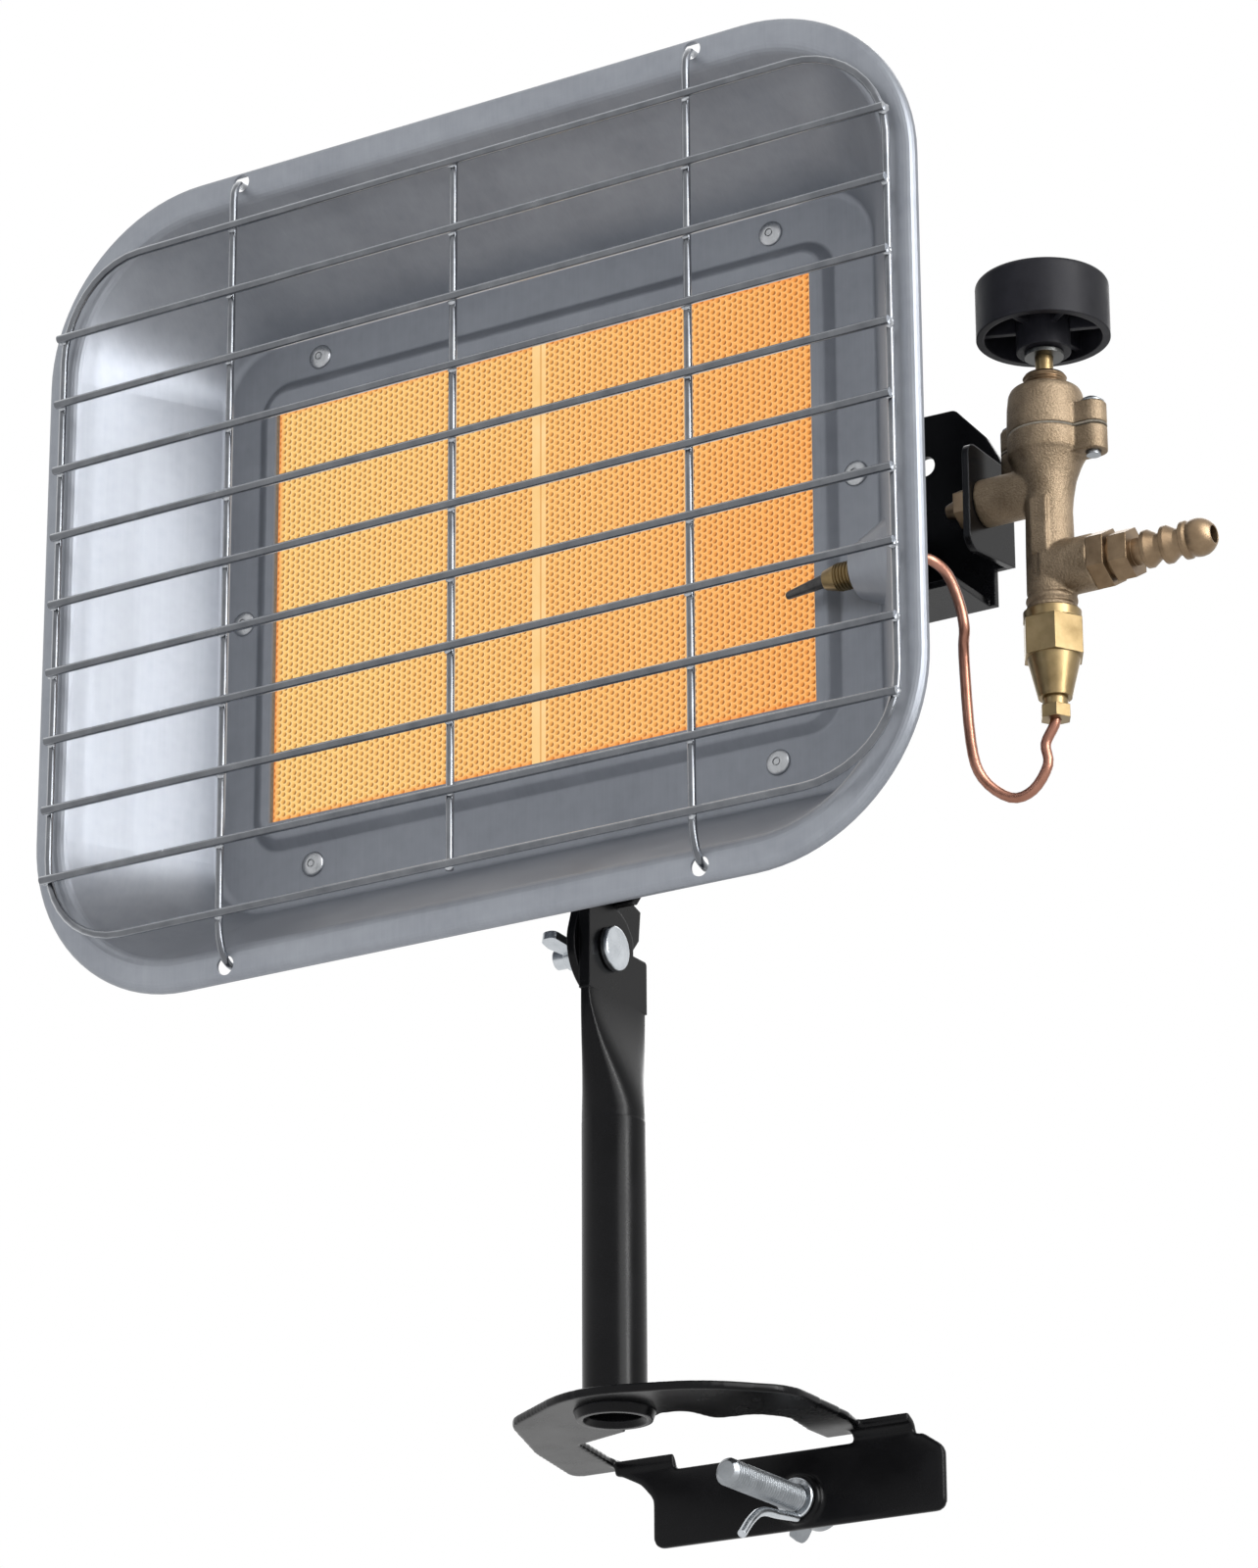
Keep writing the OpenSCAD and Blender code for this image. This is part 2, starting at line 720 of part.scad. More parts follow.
// plate on the burner box with one ear turned down to the hinge bolt
module hinge_bracket() {
  px = ear_x - ear_t;
  back = box_back + ear_t;
  low = burner_up - box_h/2 - 1.5;
  ear = [[head_front - ear_r*cos(20), ear_r*sin(20) - head_rise], [box_back - 6, low], [back, low],
    [back, -84], [back + 16, -89], [back + 15, -98], [head_front + ear_r, -head_rise],
    [head_front, -head_rise]];
  color([0.08, 0.08, 0.09]) at_head() difference() {
    union() {
      side_sheet(px, ear_t) {
        translate([head_front, -head_rise]) circle(ear_r);
        polygon(ear);
      }
      translate([px, 0, 0]) upright_sheet(back, ear_t, hinge_plate);
    }
    rod_x(px - over, head_front, -head_rise, bolt_d + 2*run_fit, ear_t + 2*over);
    for (z = hinge_screw_z) rod_y(hinge_screw_x, box_back - over, z, plate_screw_d, ear_t + 2*over);
  }
}

// reflector: pan pressed from sheet, rim turned back, raised face round the burner's opening
function pan_profile() =
  let (w = atan2(pan_depth, wall_in), k = pan_t*tan(w/2), a = rim_flat + wall_in, f = a + floor_lap)
  rounded([[0, lip_h, 0], [0, 0, rim_bend], [rim_flat, 0, mouth_bend], [a, pan_depth, floor_bend],
    [f, pan_depth, 0], [f, floor_back, 0], [a - k, floor_back, floor_bend + pan_t],
    [rim_flat - k, pan_t, mouth_bend - pan_t], [pan_t, pan_t, rim_bend - pan_t], [pan_t, lip_h, 0]], 5);

// bent step between the floor and the raised face round the burner
function step_profile() =
  let (w = atan2(face_rise, 2*step_in), k = pan_t*tan(w/2), face_back = face_y + pan_t)
  rounded([[-step_lap, floor_y, 0], [-step_in, floor_y, step_bend], [step_in, face_y, step_bend + pan_t],
    [step_lap, face_y, 0], [step_lap, face_back, 0], [step_in + k, face_back, step_bend],
    [k - step_in, floor_back, step_bend + pan_t], [-step_lap, floor_back, 0]], 5);

module pan_floor() {
  inset = rim_flat + wall_in + floor_lap - over;
  edge = step_lap - over;
  translate([0, 0, floor_y]) linear_extrude(pan_t) difference() {
    round_rect(pan_w - 2*inset, pan_h - 2*inset, rim_r - inset);
    translate([0, -burner_up]) round_rect(face_w + 2*edge, face_h + 2*edge, face_r + edge);
  }
  translate([0, -burner_up, 0]) {
    frame_sweep(face_w, face_h, face_r, step_profile());
    translate([0, 0, face_y]) linear_extrude(pan_t)
      round_rect(face_w - 2*edge, face_h - 2*edge, face_r - edge);
  }
}

// pressed boss that gives the probe a square seat on the sloping wall
module probe_boss() {
  wall_turn = atan2(wall_in, pan_depth);
  seat = pan_w/2 - rim_flat + pan_t/2/cos(wall_turn);
  difference() {
    cone_x(probe_nut_x - boss_out, probe_y, probe_z, boss_face_d, boss_base_d, boss_l);
    translate([seat, 0, probe_z - boss_base_d]) rotate(wall_turn)
      translate([0, -boss_base_d, 0]) cube([boss_base_d, 4*boss_base_d, 2*boss_base_d]);
  }
}

module reflector() {
  color([0.6, 0.62, 0.65]) at_head() difference() {
    union() {
      rotate([-90, 0, 0]) {
        frame_sweep(pan_w, pan_h, rim_r, pan_profile());
        pan_floor();
      }
      probe_boss();
    }
    translate([-open_w/2, face_y - over, burner_up - open_h/2])
      cube([open_w, pan_t + 2*over, open_h]);
    at_rivets() rod_y(0, floor_y - over, 0, rivet_d, pan_t + 2*over);
    for (x = [-1, 1], z = [-1, 1])
      rod_y(x*upright_x, -over, z*(hook_z + hook_low), wire_d + hook_room, pan_t + 2*over);
    rod_x(probe_in + tip_grip, probe_y, probe_z, probe_d, probe_out - probe_in);
  }
}

module at_rivets() {
  for (x = [-1, 1]) {
    translate([x*rivet_side, 0, burner_up]) children();
    for (z = [-1, 1]) translate([x*rivet_x, 0, burner_up + z*rivet_z]) children();
  }
}

module burner_rivets() {
  face = floor_y - rivet_head_t;
  color([0.72, 0.73, 0.75]) at_head() at_rivets() difference() {
    union() {
      rod_y(0, face, 0, rivet_head_d, rivet_head_t);
      translate([0, face, 0]) rotate([90, 0, 0])
        cylinder(d1 = rivet_head_d, d2 = rivet_head_d - 2*rivet_cone, h = rivet_dome);
      rod_y(0, floor_y, 0, rivet_d, pan_t + box_t);
      rod_y(0, floor_back + box_t, 0, rivet_d + 2*rivet_swell, rivet_tail);
    }
    rod_y(0, floor_y - 3, 0, rivet_hole, 4);
  }
}

// burner: box with a deep middle, gasket, two tiles and the strip between them
module burner_housing() {
  lap_w = box_w + 2*box_lap;
  lap_h = 2*(rivet_z + rivet_edge);
  in_w = box_w - 2*box_t;
  color([0.62, 0.63, 0.65]) at_head() difference() {
    translate([0, floor_back, burner_up]) {
      translate([-lap_w/2, 0, -lap_h/2]) cube([lap_w, box_t, lap_h]);
      translate([-box_w/2, 0, -box_h/2]) cube([box_w, front_depth, box_h]);
      translate([-box_w/2, 0, -plenum_h/2]) cube([box_w, box_depth, plenum_h]);
    }
    translate([-in_w/2, floor_back - over, burner_up]) {
      translate([0, 0, box_t - box_h/2])
        cube([in_w, front_depth - box_t + over, box_h - 2*box_t]);
      translate([0, 0, box_t - plenum_h/2])
        cube([in_w, box_depth - box_t + over, plenum_h - 2*box_t]);
    }
    at_rivets() rod_y(0, floor_back - over, 0, rivet_d, box_t + 2*over);
    rod_x(in_w/2 - over, valve_back, stub_z, mix_d, box_t + 2*over);
    for (z = hinge_screw_z) at_box_screw(hinge_screw_x, z);
    for (z = valve_screw_z) at_box_screw(valve_screw_x, z);
  }
}

module at_box_screw(x, z) {
  rod_y(x, box_back - box_t - over, z, plate_screw_d, box_t + 2*over);
}

module burner_gasket() {
  w = 2*tile_w + seam_w - 2*gasket_in;
  h = tile_h + 2*gasket_over;
  color([0.85, 0.84, 0.8]) at_head() translate([0, face_y + pan_t, burner_up]) difference() {
    rotate([-90, 0, 0]) linear_extrude(gasket_t) round_rect(w, h, gasket_r);
    translate([-open_w/2, -over, -open_h/2]) cube([open_w, gasket_t + 2*over, open_h]);
  }
}

module tile_block(x, w) {
  at_head() translate([x - w/2, tile_y, burner_up - tile_h/2]) cube([w, tile_t, tile_h]);
}

module tile_left() {
  color([1, 0.62, 0.18]) tile_block(-(tile_w + seam_w)/2, tile_w);
}

module tile_right() {
  color([1, 0.55, 0.16]) tile_block((tile_w + seam_w)/2, tile_w);
}

module tile_seam() {
  color([1, 0.72, 0.4]) tile_block(0, seam_w);
}

// tube that carries gas and air into the box, its mouth flared outside
module mixing_tube() {
  flare_x = box_w/2 + 1;
  bore = mix_d - 2*mix_wall;
  color([0.62, 0.63, 0.65]) at_head() translate([0, valve_back, stub_z]) difference() {
    union() {
      rod_x(-mix_in, 0, 0, mix_d, mix_mouth + mix_in);
      cone_x(flare_x, 0, 0, mix_d, mix_d + mix_flare, mix_mouth - flare_x);
    }
    rod_x(-mix_in - over, 0, 0, bore, mix_mouth + mix_in + 2*over);
    cone_x(flare_x, 0, 0, bore, bore + mix_flare, mix_mouth - flare_x + eps);
  }
}

// guard: loop whose level sides lie in front of its upright sides
function loop_corner(sx, sz, a) =
  [for (i = [0:loop_steps])
    let (t = a + 90*i/loop_steps, k = press((1 - cos(2*t))/2))
    [sx*(loop_w/2 - loop_r) + loop_r*cos(t), loop_front + (post_wire_y - loop_front)*(1 - k),
      sz*(loop_h/2 - loop_r) + loop_r*sin(t)]];

module guard_loop() {
  path = concat(loop_corner(1, 1, 0), loop_corner(-1, 1, 90), loop_corner(-1, -1, 180),
    loop_corner(1, -1, 270));
  color([0.7, 0.71, 0.73]) at_head() translate([guard_side, 0, -guard_drop])
    tube_path(path, wire_d/2, 10, [0, 1, 0], true);
}

module guard_bars() {
  color([0.7, 0.71, 0.73]) at_head() for (k = [-bars_each_way:bars_each_way])
    rod_x(guard_side - bar_l/2, bar_y, k*bar_pitch - guard_drop, bar_d, bar_l);
}

// three upright wires, the outer two hooked through the rim
module guard_uprights() {
  straight = hook_z - hook_bend;
  color([0.7, 0.71, 0.73]) at_head() translate([0, post_wire_y, 0]) {
    translate([0, 0, -loop_h/2 - over - guard_drop]) cylinder(d = wire_d, h = loop_h + 2*over);
    for (x = [-1, 1]) translate([x*upright_x, 0, 0]) union() {
      translate([0, 0, -straight]) cylinder(d = wire_d, h = 2*straight);
      for (m = [0, 1]) mirror([0, 0, m]) translate([0, hook_bend, straight]) {
        rotate([90, 0, -90]) rotate_extrude(angle = 90) translate([hook_bend, 0]) circle(d = wire_d);
        rod_y(0, 0, hook_bend, wire_d, hook_end);
      }
    }
  }
}

// valve bracket: back plate, end wall that carries the valve, small shelf
module valve_bracket() {
  back = box_back + bracket_t;
  wall = [[bracket_near, wall_low, 4], [back, wall_low_back, 0], [back, wall_high, 0],
    [bracket_near, wall_high, 4]];
  color([0.08, 0.08, 0.09]) at_head() difference() {
    union() {
      upright_sheet(back, bracket_t, bracket_face);
      side_sheet(wall_x - bracket_t, bracket_t) polygon(rounded(wall));
      translate([shelf_x, shelf_y, shelf_z]) cube([shelf_end - shelf_x, back - shelf_y, bracket_t]);
    }
    rod_x(wall_x - bracket_t - over, valve_back, stub_z, nut_bore, bracket_t + 2*over);
    rod_y(spare_hole[0], box_back - over, spare_hole[1], spare_hole_d, bracket_t + 2*over);
    for (z = valve_screw_z)
      rod_y(valve_screw_x, box_back - over, z, plate_screw_d, bracket_t + 2*over);
  }
}

module plate_screw(t) {
  rod_y(0, -plate_grip - box_t, 0, plate_screw_d, t + plate_grip + box_t);
  difference() {
    rod_y(0, t, 0, plate_head_d, plate_head_t);
    translate([-plate_slot/2, t + plate_head_t - plate_slot, -plate_head_d/2 - over])
      cube([plate_slot, plate_slot + over, plate_head_d + 2*over]);
  }
}

module bracket_screws() {
  color([0.68, 0.69, 0.7]) at_head() translate([0, box_back, 0]) {
    for (z = hinge_screw_z) translate([hinge_screw_x, 0, z]) plate_screw(ear_t);
    for (z = valve_screw_z) translate([valve_screw_x, 0, z]) plate_screw(bracket_t);
  }
}

// brass jet that holds the valve to the bracket and blows into the mixing tube
module injector() {
  inner = wall_x - bracket_t;
  hex_l = 5;
  nose_l = 5;
  jet_d = 0.8;
  bore = 3;
  color([0.8, 0.62, 0.3]) at_head() translate([inner, valve_back, stub_z]) difference() {
    union() {
      translate([-hex_l, 0, 0]) rotate([0, 90, 0]) hex(10, hex_l);
      rod_x(0, 0, 0, nut_bore, bracket_t + 6);
      cone_x(-hex_l - nose_l + over, 0, 0, 4, nut_bore, nose_l);
    }
    rod_x(-hex_l - 4.5, 0, 0, bore, 30);
    rod_x(-hex_l - nose_l - over, 0, 0, jet_d, 5);
  }
}

// valve: cast body, gasket, bonnet with two screws, packing nut
module valve_ear(a, z, l) {
  rotate(a) translate([0, 0, z]) linear_extrude(l) union() {
    translate([ear_off, 0]) circle(d = ear_d);
    translate([ear_in, -ear_d/2]) square([ear_off - ear_in, ear_d]);
  }
}

module at_ears() {
  for (a = ear_turns) rotate(a) translate([ear_off, 0, 0]) children();
}

module valve_body() {
  stub_l = valve_x - wall_x;
  spindle_bore = spindle_d + 2*run_fit;
  color([0.66, 0.5, 0.28]) at_valve() difference() {
    union() {
      rotate_extrude() polygon(body_line);
      for (a = ear_turns) valve_ear(a, ear_low, body_top - ear_step - ear_low);
      rod_x(-stub_l, 0, stub_z, stub_d, stub_l);
      rod_x(0, 0, inlet_z, inlet_d, inlet_l);
      translate([-label_w/2, label_y, label_z]) cube([label_w, label_t, label_h]);
    }
    translate([0, 0, body_low - over]) cylinder(d = magnet_d, h = bore_low - body_low + over);
    translate([0, 0, bore_low - over]) cylinder(d = spindle_bore, h = body_top - bore_low + 2*over);
    translate([0, 0, cavity_z]) cylinder(d = cavity_d, h = body_top - cavity_z + over);
    rod_x(-stub_l - over, 0, stub_z, nut_bore, 6 + over);
    rod_x(-stub_l, 0, stub_z, stub_bore, stub_l);
    rod_x(inlet_l - nut_screw_l, 0, inlet_z, nut_screw_d, nut_screw_l + over);
    rod_x(0, 0, inlet_z, inlet_bore, inlet_l);
    at_ears() cylinder(d = ear_screw_d, h = body_top + over);
  }
}

module valve_gasket() {
  color([0.3, 0.3, 0.3]) at_valve() translate([0, 0, body_top]) difference() {
    union() {
      cylinder(d = bonnet_d, h = valve_gasket_t);
      for (a = ear_turns) valve_ear(a, 0, valve_gasket_t);
    }
    translate([0, 0, -over]) cylinder(d = cavity_d, h = valve_gasket_t + 2*over);
    at_ears() translate([0, 0, -over]) cylinder(d = ear_screw_d, h = valve_gasket_t + 2*over);
  }
}

module valve_bonnet() {
  color([0.66, 0.5, 0.28]) at_valve() difference() {
    union() {
      rotate_extrude() polygon(bonnet_line);
      for (a = ear_turns) valve_ear(a, bonnet_z + ear_step, ear_h - ear_step);
    }
    translate([0, 0, bonnet_z - over]) cylinder(d = cavity_d, h = cavity_top - bonnet_z + over);
    translate([0, 0, bonnet_z])
      cylinder(d = spindle_d + 2*run_fit, h = bonnet_top - bonnet_z + over);
    at_ears() translate([0, 0, bonnet_z - over]) cylinder(d = ear_screw_d, h = ear_h + 2*over);
  }
}

module bonnet_screws() {
  seat = bonnet_z + ear_h;
  drop = sqrt(pow(ear_head_r, 2) - pow(ear_head_d/2, 2));
  color([0.7, 0.71, 0.7]) at_valve() at_ears() union() {
    translate([0, 0, ear_screw_low]) cylinder(d = ear_screw_d, h = seat - ear_screw_low);
    intersection() {
      translate([0, 0, seat]) cylinder(d = ear_head_d, h = ear_head_t);
      translate([0, 0, seat + 0.4 - drop]) sphere(ear_head_r);
    }
  }
}

module packing_nut() {
  half = pack_pitch/2;
  tall = pack_rings*pack_pitch;
  color([0.8, 0.6, 0.3]) at_valve() translate([0, 0, bonnet_top]) difference() {
    for (k = [0:pack_rings - 1]) translate([0, 0, pack_pitch*k]) {
      cylinder(d1 = pack_d, d2 = pack_d + 2*pack_ring, h = half);
      translate([0, 0, half]) cylinder(d1 = pack_d + 2*pack_ring, d2 = pack_d, h = half);
    }
    translate([0, 0, -over]) cylinder(d = spindle_d + 2*run_fit, h = tall + 2*over);
  }
}

// spindle with a collar, its return spring, washer and knob
module spindle() {
  color([0.8, 0.62, 0.3]) at_valve() union() {
    translate([0, 0, spindle_low]) cylinder(d = spindle_d, h = knob_z + spindle_top - spindle_low);
    translate([0, 0, cavity_top - clear - collar_t]) cylinder(d = collar_d, h = collar_t);
  }
}

module spindle_spring() {
  low = cavity_z + spring_wire/2 + spring_sink;
  high = cavity_z + spring_l - spring_wire/2 - spring_sink;
  steps = 12;
  path = [for (i = [0:spring_turns*steps])
    let (a = 360*i/steps, t = i/(spring_turns*steps))
    [spring_r*cos(a), spring_r*sin(a), low + (high - low)*t]];
  echo(spring_gap = (high - low)/spring_turns - spring_wire);
  color([0.6, 0.6, 0.62]) at_valve() tube_path(path, spring_wire/2, 8, [1, 0, 0]);
}

module spindle_washer() {
  color([0.75, 0.76, 0.77]) at_valve() translate([0, 0, wash_z]) difference() {
    cylinder(d = wash_d, h = wash_t);
    translate([0, 0, -over]) cylinder(d = spindle_d + 2*run_fit, h = wash_t + 2*over);
  }
}

module knob() {
  r = knob_d/2;
  roof = knob_h - knob_top;
  hub_z = wash_z + wash_t + clear - knob_z;
  skirt = concat([[0, roof], [r - knob_wall, roof], [r - knob_wall, 0], [r, 0]],
    arc([r - knob_round, knob_h - knob_round], knob_round, 0, 90, 5), [[0, knob_h]]);
  color([0.05, 0.05, 0.07]) at_valve() translate([0, 0, knob_z]) difference() {
    union() {
      rotate_extrude() polygon(skirt);
      translate([0, 0, hub_z]) cylinder(d = hub_d, h = roof + over - hub_z);
      for (k = [0:2]) rotate(60*k + 20) translate([knob_wall/2 - r, -knob_rib/2, 2])
        cube([2*r - knob_wall, knob_rib, roof - over]);
    }
    translate([0, 0, hub_z - over]) cylinder(d = spindle_d, h = knob_deep - hub_z);
  }
}

module magnet_unit() {
  color([0.7, 0.6, 0.4]) at_valve() translate([0, 0, magnet_low]) cylinder(d = magnet_d, h = magnet_l);
}

module inlet_nut() {
  color([0.78, 0.6, 0.3]) at_valve() translate([inlet_l, 0, inlet_z]) difference() {
    union() {
      rotate([0, 90, 0]) hex(nut_flats, nut_l);
      rod_x(-nut_screw_l, 0, 0, nut_screw_d, nut_screw_l);
    }
    rod_x(-nut_screw_l - over, 0, 0, inlet_bore, 20);
    rod_x(-over, 0, 0, nut_bore, nut_l + 2*over);
  }
}

// hex and ribbed tail that the gas hose is pushed on to
module hose_nozzle() {
  ball = hose_d/2;
  end = hose_x + hose_l;
  color([0.8, 0.62, 0.32]) at_valve() translate([0, 0, inlet_z]) difference() {
    union() {
      rod_x(inlet_l - over, 0, 0, nut_bore, nut_l + 2*over);
      rod_x(inlet_l + nut_l, 0, 0, tail_collar_d, tail_collar);
      translate([tail_x, 0, 0]) rotate([0, 90, 0]) hex(tail_hex, tail_hex_l);
      rod_x(hose_x, 0, 0, hose_core, hose_l - ball);
      for (k = [1:3]) {
        rod_x(hose_x + rib_step*k - 2*rib_land, 0, 0, hose_d, rib_land);
        cone_x(hose_x + rib_step*k - rib_land, 0, 0, hose_d, hose_core, 2*rib_slope);
      }
      intersection() {
        translate([end - ball, 0, 0]) sphere(ball);
        rod_x(end - 2*ball, 0, 0, 2*hose_d, 2*ball - nose_flat);
      }
    }
    rod_x(inlet_l - 2*over, 0, 0, inlet_bore, end);
  }
}

module union_nut() {
  color([0.8, 0.63, 0.33]) at_valve() difference() {
    union() {
      translate([0, 0, union_hex_z]) hex(union_hex, union_hex_l);
      translate([0, 0, union_hex_z + union_hex_l]) cylinder(d = union_ring_d, h = union_ring_l);
      translate([0, 0, union_cone_z])
        cylinder(d1 = union_cone_d, d2 = union_cone_top, h = union_hex_z - union_cone_z);
    }
    translate([0, 0, body_low]) cylinder(d = union_d, h = body_end - body_low + over);
    translate([0, 0, union_cone_z - over]) cylinder(d = union_bore, h = body_low - union_cone_z + 2*over);
  }
}

module lead_nut() {
  ring_z = lead_nut_z + lead_nut_l;
  color([0.8, 0.65, 0.35]) at_valve() difference() {
    union() {
      translate([0, 0, lead_nut_z]) hex(lead_nut_hex, lead_nut_l);
      translate([0, 0, ring_z]) cylinder(d = lead_nut_ring, h = union_cone_z - ring_z);
      translate([0, 0, union_cone_z]) cylinder(d = union_bore, h = 6);
    }
    translate([0, 0, lead_nut_z - over]) cylinder(d = lead_d, h = 14);
  }
}

// thermocouple: copper lead, brass fitting, steel tip and nut
module thermo_lead() {
  color([0.75, 0.45, 0.35]) at_head()
    tube_path(spline(lead_line, lead_steps), lead_d/2, 8, [0, 1, 0]);
}

module thermo_fitting() {
  color([0.78, 0.62, 0.32]) at_head() translate([0, probe_y, probe_z]) difference() {
    rod_x(probe_in, 0, 0, probe_d, probe_out - probe_in);
    rod_x(probe_out - probe_grip - 0.5, 0, 0, lead_d + probe_room, probe_grip + over);
    rod_x(probe_in - over, 0, 0, tip_d, tip_grip + over);
  }
}

module thermo_tip() {
  root = probe_in - tip_out;
  color([0.35, 0.35, 0.36]) at_head() translate([0, probe_y, probe_z]) union() {
    rod_x(root, 0, 0, tip_d, tip_out + tip_grip);
    cone_x(tip_in, 0, 0, tip_point, tip_d, root - tip_in);
  }
}

module probe_nut() {
  color([0.75, 0.6, 0.32]) at_head() translate([probe_nut_x, probe_y, probe_z]) difference() {
    rotate([0, 90, 0]) hex(probe_hex, probe_hex_l);
    rod_x(-over, 0, 0, probe_d, probe_hex_l + 2*over);
  }
}

clamp_plate();
post_tube();
clamp_screw();
clamp_screw_wing();
clamp_lock_nut();
hinge_bolt();
hinge_washer();
hinge_wing_nut();
hinge_bracket();
reflector();
burner_rivets();
guard_loop();
guard_bars();
guard_uprights();
burner_housing();
burner_gasket();
tile_left();
tile_right();
tile_seam();
mixing_tube();
injector();
valve_bracket();
bracket_screws();
valve_body();
valve_gasket();
valve_bonnet();
bonnet_screws();
packing_nut();
spindle();
spindle_spring();
spindle_washer();
knob();
magnet_unit();
inlet_nut();
hose_nozzle();
union_nut();
lead_nut();
thermo_lead();
thermo_fitting();
thermo_tip();
probe_nut();
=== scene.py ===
import math
import random
import bpy
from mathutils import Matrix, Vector


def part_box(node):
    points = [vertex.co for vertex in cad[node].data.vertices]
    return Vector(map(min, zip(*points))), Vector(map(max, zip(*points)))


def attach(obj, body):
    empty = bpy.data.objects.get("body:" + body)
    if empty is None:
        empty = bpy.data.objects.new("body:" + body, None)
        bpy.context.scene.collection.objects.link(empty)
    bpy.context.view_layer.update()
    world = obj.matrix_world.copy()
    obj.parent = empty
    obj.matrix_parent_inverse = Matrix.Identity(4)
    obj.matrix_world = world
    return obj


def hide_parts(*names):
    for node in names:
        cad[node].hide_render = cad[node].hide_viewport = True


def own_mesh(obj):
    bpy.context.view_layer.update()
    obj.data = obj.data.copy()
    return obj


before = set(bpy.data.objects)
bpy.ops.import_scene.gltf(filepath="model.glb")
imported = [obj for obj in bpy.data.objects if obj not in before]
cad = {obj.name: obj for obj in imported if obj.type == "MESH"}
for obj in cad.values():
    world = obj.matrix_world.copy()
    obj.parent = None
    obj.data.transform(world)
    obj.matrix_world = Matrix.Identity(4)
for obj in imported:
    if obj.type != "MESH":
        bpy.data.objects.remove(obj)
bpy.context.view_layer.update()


# Studio: the heater hangs free and is seen from the right and from below, as on a product sheet.
# A wide soft box and a tall strip stand on the right, weaker boxes fill from the left, below and behind.
bpy.context.scene.view_settings.view_transform = "Standard"
camera = bpy.data.cameras.new("photo_camera")
camera.sensor_width = 36
camera.lens = 126.53
camera.shift_x = 0.0529
camera.shift_y = 0.0719
camera.clip_start = 0.05
camera.clip_end = 50
photo_camera = bpy.data.objects.new("photo_camera", camera)
photo_camera.location = (0.73747, -1.29539, -0.37243)
looks_along = Vector((-0.50012, 0.79878, 0.33446))
photo_camera.rotation_euler = looks_along.to_track_quat("-Z", "Y").to_euler()
bpy.context.collection.objects.link(photo_camera)
bpy.context.scene.camera = photo_camera
heater_middle = Vector((-0.02, -0.09, 0.22))


def soft_box(name, place, width, height, power, lights=True, mirrored=True):
    """Area lamp aimed at the heater; it may light only, or only be mirrored in metal."""
    lamp = bpy.data.lights.new(name, "AREA")
    lamp.shape = "RECTANGLE"
    lamp.size = width
    lamp.size_y = height
    lamp.energy = power
    stand = bpy.data.objects.new(name, lamp)
    stand.location = place
    stand.rotation_euler = (heater_middle - Vector(place)).to_track_quat("-Z", "Y").to_euler()
    stand.visible_diffuse = lights
    stand.visible_glossy = mirrored
    bpy.context.collection.objects.link(stand)


soft_box("key_box", (1.55, -0.75, 0.85), width=1.3, height=1.3, power=15)
soft_box("card_box", (1.75, -0.62, 1.05), width=1.5, height=2.2, power=24, lights=False)
soft_box("strip_box", (1.5, -0.33, 0.5), width=0.14, height=1.2, power=12, lights=False)
soft_box("low_box", (0.25, -1.5, -0.4), width=1.2, height=0.8, power=18, mirrored=False)
soft_box("fill_box", (-1.5, -1.5, 0.5), width=1.6, height=1.6, power=9, mirrored=False)
soft_box("back_box", (-0.6, 1.6, 1.3), width=1.4, height=1.4, power=14)


def add_node(tree, kind, settings=None, **sockets):
    """Node with its settings and socket values; a value that is a socket is linked, i0 is input 0."""
    node = tree.nodes.new("ShaderNode" + kind)
    for key, value in (settings or {}).items():
        setattr(node, key, value)
    for key, value in sockets.items():
        target = node.inputs[int(key[1:]) if key[1:].isdigit() else key.replace("_", " ")]
        if isinstance(value, bpy.types.NodeSocket):
            tree.links.new(value, target)
        else:
            target.default_value = value
    return node


def number(tree, how, *values):
    """Number that a Math node makes of its values, in their order."""
    inputs = {f"i{k}": value for k, value in enumerate(values)}
    return add_node(tree, "Math", {"operation": how}, **inputs).outputs[0]


pure_white = (1, 1, 1, 1)
studio = bpy.data.worlds.new("white_studio")
studio.use_nodes = True
bpy.context.scene.world = studio
sky = studio.node_tree
sky.nodes.clear()
ray = add_node(sky, "LightPath").outputs
seen = number(sky, "MAXIMUM", ray["Is Camera Ray"], ray["Is Glossy Ray"])
shown = number(sky, "MAXIMUM", seen, ray["Is Transmission Ray"])
dim = add_node(sky, "Background", Color=pure_white, Strength=0.45)
white = add_node(sky, "Background", Color=pure_white, Strength=1.0)
either = add_node(sky, "MixShader", Fac=shown, i1=dim.outputs[0], i2=white.outputs[0])
add_node(sky, "OutputWorld", Surface=either.outputs[0])


# Floor: a pale painted studio floor, well below the heater and below the camera.
# Metal that faces down mirrors it, and then it shows as white as the walls of the studio.
def new_finish(name, **plain):
    """Material with a Principled shader; plain values go on the shader's own sockets."""
    finish = bpy.data.materials.new(name)
    finish.use_nodes = True
    shader = finish.node_tree.nodes["Principled BSDF"]
    for socket, value in plain.items():
        shader.inputs[socket.replace("_", " ")].default_value = value
    return finish, finish.node_tree, shader


def feed(tree, shader, **made):
    """Links what the nodes make to the shader's own sockets."""
    for socket, value in made.items():
        tree.links.new(value, shader.inputs[socket.replace("_", " ")])


def new_group(name, inputs, outputs):
    """Empty shader group with number inputs and the named outputs."""
    group = bpy.data.node_groups.new(name, "ShaderNodeTree")
    for key, value in inputs.items():
        socket = group.interface.new_socket(key, in_out="INPUT", socket_type="NodeSocketFloat")
        socket.default_value = value
    for key, kind in outputs.items():
        group.interface.new_socket(key, in_out="OUTPUT", socket_type="NodeSocket" + kind)
    return group, group.nodes.new("NodeGroupInput"), group.nodes.new("NodeGroupOutput")


